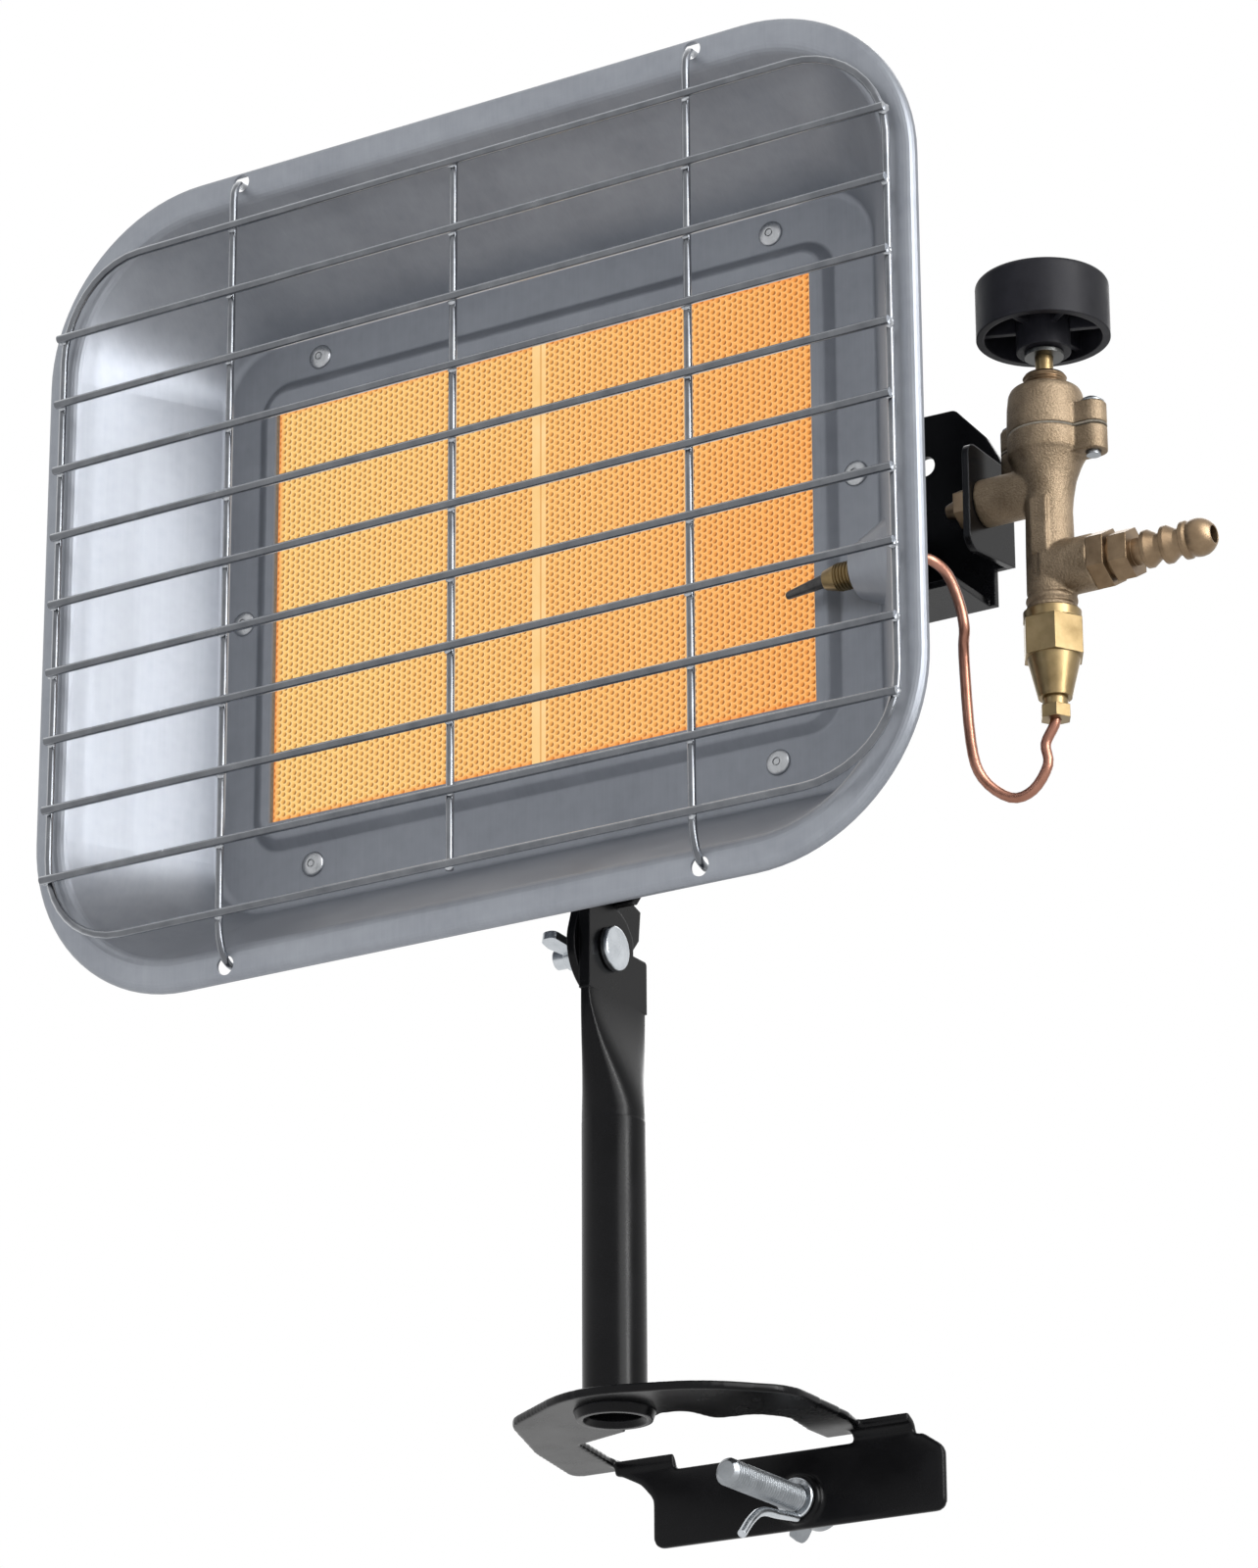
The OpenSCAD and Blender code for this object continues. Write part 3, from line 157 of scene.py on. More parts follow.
def use_group(tree, group, **values):
    """Outputs of the group in a material, with that material's values."""
    node = tree.nodes.new("ShaderNodeGroup")
    node.node_tree = group
    for key, value in values.items():
        node.inputs[key].default_value = value
    return node.outputs


def tint(tree, value, dark, light, start=0.3, stop=0.7):
    """Colour that goes from dark to light with a noise value."""
    ramp = add_node(tree, "ValToRGB", Fac=value)
    ramp.color_ramp.elements[0].position = start
    ramp.color_ramp.elements[0].color = (*dark, 1)
    ramp.color_ramp.elements[1].position = stop
    ramp.color_ramp.elements[1].color = (*light, 1)
    return ramp.outputs["Color"]


speckle, given, made = new_group("speckle", {"Fine": 2500.0, "Coarse": 60.0},
                                 {"Grain": "Float", "Cloud": "Float"})
place = add_node(speckle, "TexCoord").outputs["Object"]
grain = add_node(speckle, "TexNoise", Vector=place, Scale=given.outputs["Fine"], Detail=3.0, Roughness=0.6)
cloud = add_node(speckle, "TexNoise", Vector=place, Scale=given.outputs["Coarse"], Detail=5.0, Roughness=0.6)
speckle.links.new(grain.outputs["Fac"], made.inputs["Grain"])
speckle.links.new(cloud.outputs["Fac"], made.inputs["Cloud"])

floor_side, floor_z = 8, -0.46
bpy.ops.object.select_all(action="DESELECT")
bpy.ops.mesh.primitive_plane_add(size=floor_side, location=(0, 0, floor_z))
floor = bpy.context.object
floor.name = "studio_floor"
bpy.ops.object.transform_apply(location=True, rotation=True, scale=True)
pale, tree, shader = new_finish("pale_floor", Roughness=0.8, Specular_IOR_Level=0.2,
                                Emission_Color=(0.42, 0.42, 0.42, 1))
fine = use_group(tree, speckle, Fine=300.0, Coarse=4.0)
ray = add_node(tree, "LightPath").outputs
feed(tree, shader, Base_Color=tint(tree, fine["Cloud"], (0.76, 0.76, 0.76), (0.82, 0.82, 0.82)),
     Emission_Strength=ray["Is Camera Ray"])
bright = add_node(tree, "Emission", Color=pure_white, Strength=1.0)
either = add_node(tree, "MixShader", Fac=ray["Is Glossy Ray"], i1=shader.outputs[0], i2=bright.outputs[0])
tree.links.new(either.outputs[0], tree.nodes["Material Output"].inputs["Surface"])
floor.data.materials.append(pale)


# Clamp sheet and post: mild steel plate bent into a flange, and a tube swaged into it whose top is
# pressed flat for the hinge. Both are sprayed semi-gloss black, thin and slightly dusty on the edges.
def vector(tree, how, *values):
    """Vector that a VectorMath node makes of its values, or the number of a length or dot product."""
    inputs = {f"i{k}": value for k, value in enumerate(values)}
    node = add_node(tree, "VectorMath", {"operation": how}, **inputs)
    return node.outputs["Value" if how in ("LENGTH", "DOT_PRODUCT") else "Vector"]


def spread(tree, value, low, high, start=0.3, stop=0.7):
    """Stretches a noise value over a range."""
    node = add_node(tree, "MapRange", From_Min=start, From_Max=stop, To_Min=low, To_Max=high, Value=value)
    return node.outputs["Result"]


soft_edge, given, made = new_group("soft_edge", {"Radius": 0.0005}, {"Normal": "Vector", "Worn": "Float"})
rounded = add_node(soft_edge, "Bevel", {"samples": 6}, Radius=given.outputs["Radius"]).outputs["Normal"]
surface = add_node(soft_edge, "NewGeometry").outputs["Normal"]
turned = vector(soft_edge, "DOT_PRODUCT", rounded, surface)
soft_edge.links.new(rounded, made.inputs["Normal"])
soft_edge.links.new(spread(soft_edge, turned, 0.0, 1.0, start=0.99, stop=0.8), made.inputs["Worn"])


def lay_over(tree, mask, below, above):
    """Second colour laid over the first where the mask is high."""
    mix = add_node(tree, "Mix", {"data_type": "RGBA"})
    tree.links.new(mask, mix.inputs[0])
    for socket, value in ((mix.inputs[6], below), (mix.inputs[7], above)):
        if isinstance(value, bpy.types.NodeSocket):
            tree.links.new(value, socket)
        else:
            socket.default_value = (*value, 1)
    return mix.outputs[2]


def rough_skin(tree, height, strength, depth, edge=None):
    """Normal of a surface with a fine relief, over the soft edges where the finish has them."""
    bump = add_node(tree, "Bump", Strength=strength, Distance=depth, Height=height)
    if edge is not None:
        tree.links.new(edge["Normal"], bump.inputs["Normal"])
    return bump.outputs["Normal"]


def dress(finish, *names):
    """Puts a finish on CAD nodes, whose shapes stay as they are."""
    for name in names:
        node = cad[name]
        if not node.material_slots:
            node.data.materials.append(finish)
        for slot in node.material_slots:
            slot.material = finish


def pick(piece):
    """Selects one piece alone and makes it active."""
    bpy.ops.object.select_all(action="DESELECT")
    piece.select_set(True)
    bpy.context.view_layer.objects.active = piece


def copy_of(mesh, name):
    """New piece with its own copy of a mesh."""
    piece = bpy.data.objects.new(name, mesh.copy())
    bpy.context.collection.objects.link(piece)
    return piece


def own_copy(node, name):
    """Separate piece with the merged mesh of a CAD node, selected and active."""
    piece = copy_of(cad[node].data, name)
    pick(piece)
    bpy.ops.object.mode_set(mode="EDIT")
    bpy.ops.mesh.select_all(action="SELECT")
    bpy.ops.mesh.remove_doubles(threshold=0.000002)
    bpy.ops.object.mode_set(mode="OBJECT")
    bpy.ops.mesh.customdata_custom_splitnormals_clear()
    return piece


def soften(piece, voxel, rounds):
    """Rounds the corners of the active piece by a fine remesh and some smoothing."""
    skin = piece.modifiers.new("fine_skin", "REMESH")
    skin.mode = "VOXEL"
    skin.voxel_size = voxel
    bpy.ops.object.modifier_apply(modifier=skin.name)
    soft = piece.modifiers.new("soft_corners", "SMOOTH")
    soft.factor = 0.5
    soft.iterations = rounds
    bpy.ops.object.modifier_apply(modifier=soft.name)
    bpy.ops.object.shade_smooth()


def fit_piece(piece, finish, body, slot, *nodes):
    """Gives a new piece its finish and its body, in the place of the CAD nodes named."""
    piece.data.materials.clear()
    piece.data.materials.append(finish)
    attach(piece, body)
    if nodes:
        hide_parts(*nodes)


black_paint, tree, shader = new_finish("black_paint", Specular_IOR_Level=0.13)
edge = use_group(tree, soft_edge, Radius=0.0007)
fine = use_group(tree, speckle, Fine=1400.0, Coarse=45.0)
scuff = number(tree, "MULTIPLY", edge["Worn"], fine["Cloud"])
paint = tint(tree, fine["Cloud"], (0.0022, 0.0022, 0.0026), (0.005, 0.005, 0.0058))
feed(tree, shader, Base_Color=lay_over(tree, scuff, paint, (0.05, 0.05, 0.055)),
     Roughness=spread(tree, fine["Cloud"], 0.2, 0.32),
     Normal=rough_skin(tree, fine["Grain"], 0.1, 0.0001, edge))
clamp = own_copy("clamp_plate", "clamp_pressed")
soften(clamp, voxel=0.00055, rounds=9)
fit_piece(clamp, black_paint, "base", "black_paint", "clamp_plate")
post = own_copy("post_tube", "post_pressed")
bpy.ops.object.shade_smooth_by_angle(angle=math.radians(32))
fit_piece(post, black_paint, "base", "black_paint", "post_tube")


# Clamp screw: a steel screw cut with a coarse thread, a folded wing head fixed on its end, and a lock
# nut with a bent lever. All are zinc plated, a little dull where hands and the thread have rubbed.
def open_line(name, points):
    """Edges through the points in order, made from a ring of as many corners."""
    bpy.ops.object.select_all(action="DESELECT")
    bpy.ops.mesh.primitive_circle_add(vertices=len(points), radius=0.01, fill_type="NOTHING")
    line = bpy.context.object
    line.name = name
    for corner, point in zip(line.data.vertices, points):
        corner.co = point
    for part in (line.data.vertices, line.data.edges):
        part.foreach_set("select", [False]*len(part))
    for join in line.data.edges:
        join.select = set(join.vertices) == {0, len(points) - 1}
    bpy.ops.object.mode_set(mode="EDIT")
    bpy.context.tool_settings.mesh_select_mode = (False, True, False)
    bpy.ops.mesh.delete(type="EDGE")
    bpy.ops.object.mode_set(mode="OBJECT")
    return line


seam_gap = 0.000004


def close_seams(gap=seam_gap):
    """Merges points of the active piece that lie closer than the gap, and turns its faces outwards."""
    bpy.ops.object.mode_set(mode="EDIT")
    bpy.ops.mesh.select_all(action="SELECT")
    bpy.ops.mesh.remove_doubles(threshold=gap)
    bpy.ops.mesh.normals_make_consistent(inside=False)
    bpy.ops.object.mode_set(mode="OBJECT")


def turn_round(piece, axis, steps, pitch=0.0, turns=1):
    """Turns an open line round an axis through the origin; with a pitch it makes a thread."""
    lathe = piece.modifiers.new("turned", "SCREW")
    lathe.axis = axis
    lathe.steps = steps
    lathe.render_steps = steps
    lathe.screw_offset = pitch
    lathe.iterations = turns
    lathe.use_merge_vertices = True
    lathe.merge_threshold = seam_gap
    bpy.ops.object.modifier_apply(modifier=lathe.name)
    close_seams()


def set_down(piece, place):
    """Moves a finished mesh to its place and leaves the object at the origin."""
    piece.location = place
    pick(piece)
    bpy.ops.object.transform_apply(location=True, rotation=True, scale=True)


def middle(low, high):
    """Middle of a box."""
    return [(start + stop)/2 for start, stop in zip(low, high)]


def worn_metal(name, dark, light, rough, fine_scale, cloud_scale, pits=0.15, pit_depth=0.00005):
    """Bare or plated metal, clouded between two colours, with soft edges and fine pits."""
    finish, tree, shader = new_finish(name, Metallic=1.0)
    edge = use_group(tree, soft_edge, Radius=0.0003)
    fine = use_group(tree, speckle, Fine=fine_scale, Coarse=cloud_scale)
    feed(tree, shader, Base_Color=tint(tree, fine["Cloud"], dark, light),
         Roughness=spread(tree, fine["Cloud"], *rough),
         Normal=rough_skin(tree, fine["Grain"], pits, pit_depth, edge))
    return finish


zinc = worn_metal("zinc_plate", (0.22, 0.235, 0.25), (0.34, 0.36, 0.38), (0.28, 0.44), 3000.0, 180.0)
low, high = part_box("clamp_screw")
screw = middle(low, high)
pitch, crest, root = 0.00125, 0.00398, 0.0033
flank_start, flank_end, crest_end = 0.00018, 0.0006, 0.00078
tip_bevel, tip_share = 0.0012, 0.72
thread = open_line("clamp_screw_thread", [(root, 0, 0), (root, flank_start, 0), (crest, flank_end, 0),
                                          (crest, crest_end, 0), (root, pitch, 0)])
turn_round(thread, "Y", steps=20, pitch=pitch, turns=int((high[1] - low[1])/pitch) + 3)
set_down(thread, (screw[0], low[1] - 1.5*pitch, screw[2]))
bpy.ops.object.mode_set(mode="EDIT")
bpy.ops.mesh.select_all(action="SELECT")
bpy.ops.mesh.bisect(plane_co=(0, high[1], 0), plane_no=(0, 1, 0), use_fill=True, clear_outer=True)
bpy.ops.mesh.select_all(action="SELECT")
bpy.ops.mesh.bisect(plane_co=(0, low[1] + tip_bevel, 0), plane_no=(0, -1, 0), use_fill=True, clear_outer=True)
bpy.ops.mesh.extrude_region_move(TRANSFORM_OT_translate={"value": (0, -tip_bevel, 0)})
bpy.ops.transform.resize(value=(tip_share, 1, tip_share), center_override=(screw[0], low[1], screw[2]))
bpy.ops.mesh.select_all(action="SELECT")
bpy.ops.mesh.normals_make_consistent(inside=False)
bpy.ops.object.mode_set(mode="OBJECT")
bpy.ops.object.shade_smooth_by_angle(angle=math.radians(25))
fit_piece(thread, zinc, "clamp_screw", "zinc_plate", "clamp_screw")
dress(zinc, "clamp_screw_wing")


def bent_wire(name, points, radius, closed=False):
    """Round wire through (point, way in, way out) or plain points, made a closed mesh."""
    bpy.ops.object.select_all(action="DESELECT")
    bpy.ops.curve.primitive_bezier_curve_add()
    wire = bpy.context.object
    wire.name = name
    bpy.ops.object.mode_set(mode="EDIT")
    bpy.ops.curve.select_all(action="SELECT")
    bpy.ops.curve.subdivide(number_cuts=len(points) - 2)
    bpy.ops.object.mode_set(mode="OBJECT")
    wire.data.dimensions = "3D"
    wire.data.resolution_u = 10
    wire.data.bevel_depth = radius
    wire.data.bevel_resolution = 4
    wire.data.use_fill_caps = not closed
    run = wire.data.splines[0]
    run.use_cyclic_u = closed
    for knot, point in zip(run.bezier_points, points):
        plain = not isinstance(point[0], tuple)
        knot.handle_left_type = knot.handle_right_type = "AUTO" if plain else "FREE"
        knot.co = point if plain else point[0]
        if not plain:
            knot.handle_left = Vector(point[0]) + Vector(point[1])
            knot.handle_right = Vector(point[0]) + Vector(point[2])
    bpy.ops.object.convert(target="MESH")
    close_seams()
    bpy.ops.object.shade_smooth_by_angle(angle=math.radians(40))
    return wire


def join_into(piece, others):
    """Makes one piece of several."""
    pick(piece)
    for other in others:
        other.select_set(True)
    bpy.ops.object.join()


bright_zinc = worn_metal("bright_zinc", (0.46, 0.49, 0.52), (0.62, 0.65, 0.68), (0.2, 0.36), 3000.0, 180.0)
lever_r, ring_bore, ring_r, ring_t = 0.0013, 0.00406, 0.0058, 0.0012
ring_place = (0, 0.0123, -0.0175)
lever = bent_wire("lock_nut_lever", [(0.0005, 0.0128, -0.023), (0.0003, 0.003, -0.0241),
                                     (0, -0.0062, -0.0252), (-0.0003, -0.0105, -0.0278),
                                     (-0.0005, -0.016, -0.0332)], lever_r)
ring = open_line("lock_nut_ring", [(ring_bore, 0, 0), (ring_r - 0.0003, 0, 0), (ring_r, 0.0003, 0),
                                   (ring_r, ring_t, 0), (ring_bore, ring_t, 0), (ring_bore, 0.0002, 0)])
turn_round(ring, "Y", steps=36)
close_seams(gap=0.00021)
set_down(ring, ring_place)
join_into(ring, [lever])
bpy.ops.object.shade_smooth_by_angle(angle=math.radians(40))
fit_piece(ring, bright_zinc, "lock_nut", "zinc_plate", "clamp_lock_nut")


# Hinge: a round headed bolt through the flat of the post and the ear of the head's bracket, drawn up
# by a cast wing nut on a washer. The bolt, washer and nut are bright zinc, the bracket is painted black.
dress(bright_zinc, "hinge_bolt", "hinge_washer", "hinge_wing_nut")
dress(black_paint, "hinge_bracket")


# Reflector: one sheet of galvanised steel pressed into a pan with a sloping wall, a flat rim and a
# raised face round the burner. It is blue-grey with faint rolling lines, and darker deeper in the pan.
shallow_y, deep_y = -0.088, -0.078
rolled_scale = (1500, 500, 45)
galvanised, tree, shader = new_finish("galvanised_sheet", Metallic=0.6, Specular_IOR_Level=0.2)
place = add_node(tree, "TexCoord").outputs["Object"]
fine = use_group(tree, speckle, Fine=1500.0, Coarse=35.0)
rolled = add_node(tree, "Mapping", Vector=place, Scale=rolled_scale).outputs["Vector"]
lines = add_node(tree, "TexNoise", Vector=rolled, Scale=1.0, Detail=2.0).outputs["Fac"]
crystal = add_node(tree, "TexVoronoi", {"feature": "SMOOTH_F1"}, Vector=place, Scale=320.0)
mottle = number(tree, "MULTIPLY_ADD", crystal.outputs["Distance"], 0.2, fine["Cloud"])
streaked = number(tree, "MULTIPLY_ADD", lines, 0.22, mottle)
shallow_tone = tint(tree, streaked, (0.235, 0.25, 0.28), (0.3, 0.318, 0.35), start=0.45, stop=0.95)
deep_tone = tint(tree, streaked, (0.178, 0.191, 0.217), (0.228, 0.243, 0.272), start=0.45, stop=0.95)
depth = add_node(tree, "SeparateXYZ", Vector=place).outputs["Y"]
# Darker towards the pan's floor, by depth alone.
deep_in_pan = spread(tree, depth, 0.0, 1.0, shallow_y, deep_y)
relief = number(tree, "MULTIPLY_ADD", fine["Grain"], 0.6, lines)
feed(tree, shader, Base_Color=lay_over(tree, deep_in_pan, shallow_tone, deep_tone),
     Roughness=spread(tree, mottle, 0.34, 0.44, start=0.35, stop=0.85),
     Normal=rough_skin(tree, relief, 0.14, 0.00008))
dress(galvanised, "reflector")


# Rivets: six blind rivets of bright aluminium hold the burner box behind the floor of the pan. Each
# has a domed head with the broken end of its pin in the middle, and a swollen tail behind.
aluminium, tree, shader = new_finish("rivet_aluminium", Metallic=1.0)
fine = use_group(tree, speckle, Fine=2800.0, Coarse=300.0)
feed(tree, shader, Base_Color=tint(tree, fine["Cloud"], (0.36, 0.375, 0.39), (0.55, 0.56, 0.58)),
     Roughness=spread(tree, fine["Cloud"], 0.24, 0.4),
     Normal=rough_skin(tree, fine["Grain"], 0.2, 0.00005))
low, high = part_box("burner_rivets")
mid_x, _, mid_z = middle(low, high)
head_r, shank_r, tail_r = 0.00375, 0.002, 0.0028
pan_back, rivet_l = 0.0013, high[1] - low[1]
rivet_outline = [(0, 0.00015), (0.0009, 0.00012), (0.001, 0.0005), (0.00112, 0.0005), (0.0012, 0.00004),
                 (0.0014, 0), (0.0021, 0.0001), (0.0029, 0.00036), (0.0035, 0.0007), (head_r, 0.00105),
                 (head_r, pan_back), (shank_r, pan_back), (shank_r, pan_back + 0.0019),
                 (tail_r, pan_back + 0.002), (tail_r, rivet_l - 0.0007), (0.0018, rivet_l - 0.0001),
                 (0, rivet_l)]
rivet = open_line("burner_rivet_set", [(r, along, 0) for r, along in rivet_outline])
turn_round(rivet, "Y", steps=28)
side_x, corner_x, corner_z = (high[0] - low[0])/2 - head_r, 0.0765, (high[2] - low[2])/2 - head_r
places = [(s*side_x, 0) for s in (-1, 1)] + [(s*corner_x, t*corner_z) for s in (-1, 1) for t in (-1, 1)]
copies = [copy_of(rivet.data, "rivet_copy") for _ in places[1:]]
for piece, (x, z) in zip([rivet] + copies, places):
    set_down(piece, (mid_x + x, low[1], mid_z + z))
join_into(rivet, copies)
bpy.ops.object.shade_smooth_by_angle(angle=math.radians(40))
fit_piece(rivet, aluminium, "head", "galvanised_sheet", "burner_rivets")


# Burner box: folded from the same galvanised sheet, with a deep middle for the gas and a drawn tube
# through its side that mixes gas and air. A fibre gasket seals the tiles against the pan.
dress(galvanised, "burner_housing", "mixing_tube")
fibre, tree, shader = new_finish("gasket_board", Roughness=0.9)
fine = use_group(tree, speckle, Fine=1200.0, Coarse=200.0)
feed(tree, shader, Base_Color=tint(tree, fine["Grain"], (0.16, 0.14, 0.11), (0.26, 0.235, 0.19)))
dress(fibre, "burner_gasket")


# Burner tiles: two plates of pressed ceramic, full of fine holes in staggered rows, that glow yellow
# to orange when lit. Each hole is a pit of painted shade, darker on its right side than on its left,
# with a painted highlight on its rim at the right.
hole_column, hole_pitch, hole_stray = 0.003568, 0.00206, 0.00015
hole_r, hole_soft, highlight_ring_r, highlight_ring_soft = 0.0006, 0.00078, 0.0008, 0.00104
# Way across each pit towards its darker painted shade and the painted highlight on its rim.
shade_way = (0.87, 0, -0.5)
burner_x, burner_z = -0.0275, 0.242
glow, tree, shader = new_finish("glowing_tile", Base_Color=(0.1, 0.06, 0.03, 1), Roughness=0.9,
                                Specular_IOR_Level=0.1, Emission_Strength=0.95)
place = add_node(tree, "TexCoord").outputs["Object"]
cells = vector(tree, "MULTIPLY", place, (1/hole_column, 0, 1/hole_pitch))
near, shade_leans = [], []
for shift in (0.0, 0.5):
    moved = vector(tree, "ADD", cells, (shift, 0, shift))
    chance = add_node(tree, "TexWhiteNoise", Vector=vector(tree, "FLOOR", moved)).outputs["Color"]
    centred = vector(tree, "SUBTRACT", vector(tree, "FRACTION", moved), (0.5, 0, 0.5))
    scaled = vector(tree, "MULTIPLY", centred, (hole_column, 0, hole_pitch))
    stray = vector(tree, "MULTIPLY_ADD", chance, (2*hole_stray, 0, 2*hole_stray), scaled)
    offset = vector(tree, "SUBTRACT", stray, (hole_stray, 0, hole_stray))
    near.append(vector(tree, "LENGTH", offset))
    shade_leans.append(vector(tree, "DOT_PRODUCT", offset, shade_way))
nearest = number(tree, "MINIMUM", *near)
first = number(tree, "LESS_THAN", *near)
shade_lean = add_node(tree, "Mix", {"data_type": "FLOAT"}, i0=first, i2=shade_leans[1], i3=shade_leans[0]).outputs[0]
fine = use_group(tree, speckle, Fine=900.0, Coarse=28.0)
# Pits are painted dark as painted shade. The rim on their darker side gets a painted highlight.
hole = spread(tree, nearest, 1.0, 0.0, hole_r, hole_soft)
painted_highlight_ring = spread(tree, nearest, 1.0, 0.0, highlight_ring_r, highlight_ring_soft)
painted_shade_side = spread(tree, shade_lean, 0.0, 1.0, start=-0.0002, stop=0.0004)
across = add_node(tree, "SeparateXYZ", Vector=place).outputs
warm = number(tree, "MULTIPLY_ADD", fine["Cloud"], 0.07, across["X"])
heat = spread(tree, warm, 0.0, 1.0, start=-0.06, stop=0.1)
# face is the glowing tile. The pit colours are painted shade, and the rim colour is a painted highlight.
face = tint(tree, heat, (0.96, 0.61, 0.2), (0.96, 0.42, 0.105), 0.0, 1.0)
painted_lip_highlight = tint(tree, heat, (1.0, 0.75, 0.36), (1.0, 0.56, 0.22), 0.0, 1.0)
pit_deep_shade = tint(tree, heat, (0.27, 0.105, 0.018), (0.28, 0.07, 0.008), 0.0, 1.0)
pit_light_shade = tint(tree, heat, (0.84, 0.44, 0.11), (0.82, 0.28, 0.05), 0.0, 1.0)
plate = lay_over(tree, number(tree, "MULTIPLY", painted_highlight_ring, painted_shade_side), face, painted_lip_highlight)
painted_pits = lay_over(tree, hole, plate, lay_over(tree, painted_shade_side, pit_light_shade, pit_deep_shade))
beside = number(tree, "ABSOLUTE", number(tree, "SUBTRACT", across["X"], burner_x))
above = number(tree, "ABSOLUTE", number(tree, "SUBTRACT", across["Z"], burner_z))
by_side = spread(tree, beside, 0.0, 0.75, start=0.0886, stop=0.0904)
by_top = spread(tree, above, 0.0, 0.85, start=0.0626, stop=0.0654)
ringed = lay_over(tree, number(tree, "MAXIMUM", by_side, by_top), painted_pits, (0.9, 0.2, 0.02))
# Seen in mirrored rays the glow is painted pale, not orange, so the metal round the tiles mirrors it pale.
mirrored = add_node(tree, "LightPath").outputs["Is Glossy Ray"]
feed(tree, shader, Emission_Color=lay_over(tree, mirrored, ringed, (0.9, 0.88, 0.86)),
     Normal=rough_skin(tree, nearest, 0.4, 0.0004))
dress(glow, "tile_left", "tile_right")


# Strip between the tiles: a bead of fibre cement that glows a little paler, with a fine dark joint.
# It is pressed in wet from the front, so its face is slightly uneven.
joint_x = -0.0269
cement, tree, shader = new_finish("tile_cement", Base_Color=(0.1, 0.06, 0.03, 1), Roughness=0.9,
                                  Specular_IOR_Level=0.1, Emission_Strength=0.95)
fine = use_group(tree, speckle, Fine=700.0, Coarse=90.0)
place = add_node(tree, "TexCoord").outputs["Object"]
across = add_node(tree, "SeparateXYZ", Vector=place).outputs
apart = number(tree, "ABSOLUTE", number(tree, "SUBTRACT", across["X"], joint_x))
joint = spread(tree, apart, 1.0, 0.0, start=0.0001, stop=0.0003)
bead = tint(tree, fine["Cloud"], (0.92, 0.58, 0.22), (0.98, 0.68, 0.32))
feed(tree, shader, Emission_Color=lay_over(tree, joint, bead, (0.7, 0.32, 0.08)))
dress(cement, "tile_seam")


# Guard: nine level bars, three uprights and a loop of drawn steel wire, spot welded where they cross and
# then plated. The outer uprights are bent back at both ends and hook into holes in the rim.
wire_finish, tree, shader = new_finish("guard_wire", Metallic=1.0)
fine = use_group(tree, speckle, Fine=2600.0, Coarse=140.0)
drawn = tint(tree, fine["Cloud"], (0.12, 0.127, 0.14), (0.185, 0.193, 0.207))
# Wire painted paler where it turns away from view, as a painted sheen along its edges.
turned_away = add_node(tree, "LayerWeight", Blend=0.5).outputs["Facing"]
painted_edge_sheen = spread(tree, turned_away, 0.0, 0.8)
feed(tree, shader, Base_Color=lay_over(tree, painted_edge_sheen, drawn, (0.62, 0.64, 0.67)),
     Roughness=spread(tree, fine["Cloud"], 0.18, 0.28),
     Normal=rough_skin(tree, fine["Grain"], 0.1, 0.00004))
dress(wire_finish, "guard_bars")

wire_r, bar_r, loop_bend = 0.00115, 0.0012, 0.028
low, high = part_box("guard_loop")
mid_x, _, mid_z = middle(low, high)
loop_x, loop_z = (high[0] - low[0])/2 - wire_r, (high[2] - low[2])/2 - wire_r
front_y, rear_y = low[1] + wire_r, high[1] - wire_r
flat_x, flat_z = loop_x - loop_bend, loop_z - loop_bend
round_share, straight = 0.5523, 0.02
bow = round_share*loop_bend
route = [((loop_x, rear_y, -flat_z), (0, 0, -bow), (0, 0, straight)),
         ((loop_x, rear_y, flat_z), (0, 0, -straight), (0, 0, bow)),
         ((flat_x, front_y, loop_z), (bow, 0, 0), (-straight, 0, 0)),
         ((-flat_x, front_y, loop_z), (straight, 0, 0), (-bow, 0, 0)),
         ((-loop_x, rear_y, flat_z), (0, 0, bow), (0, 0, -straight)),
         ((-loop_x, rear_y, -flat_z), (0, 0, straight), (0, 0, -bow)),
         ((-flat_x, front_y, -loop_z), (-bow, 0, 0), (straight, 0, 0)),
         ((flat_x, front_y, -loop_z), (-straight, 0, 0), (bow, 0, 0))]
loop = bent_wire("guard_loop_wire", route, wire_r, closed=True)
set_down(loop, (mid_x, 0, mid_z))
fit_piece(loop, wire_finish, "head", "guard_wire", "guard_loop")

low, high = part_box("guard_uprights")
mid_up, _, head_z = middle(low, high)
upright_x = (high[0] - low[0])/2 - wire_r
hook = [(0.0088, -0.1198), (0.0062, -0.1197), (0.0042, -0.119), (0.0025, -0.1175), (0.0012, -0.115),
        (0.0003, -0.1115), (0, -0.106), (0, -0.06), (0, 0.06), (0, 0.108), (0, 0.1135), (0.0005, 0.1165),
        (0.0022, 0.1189), (0.0046, 0.1196), (0.0088, 0.1196)]
drop = mid_z - head_z
uprights = bent_wire("guard_upright_wires", [(0, rear_y, drop - loop_z - wire_r), (0, rear_y, drop),
                                             (0, rear_y, drop + loop_z + wire_r)], wire_r)
sides = [bent_wire("guard_upright", [(x, rear_y + back, z) for back, z in hook], wire_r)
         for x in (-upright_x, upright_x)]
for wire in sides + [uprights]:
    set_down(wire, (mid_up, 0, head_z))
join_into(uprights, sides)
fit_piece(uprights, wire_finish, "head", "guard_wire", "guard_uprights")

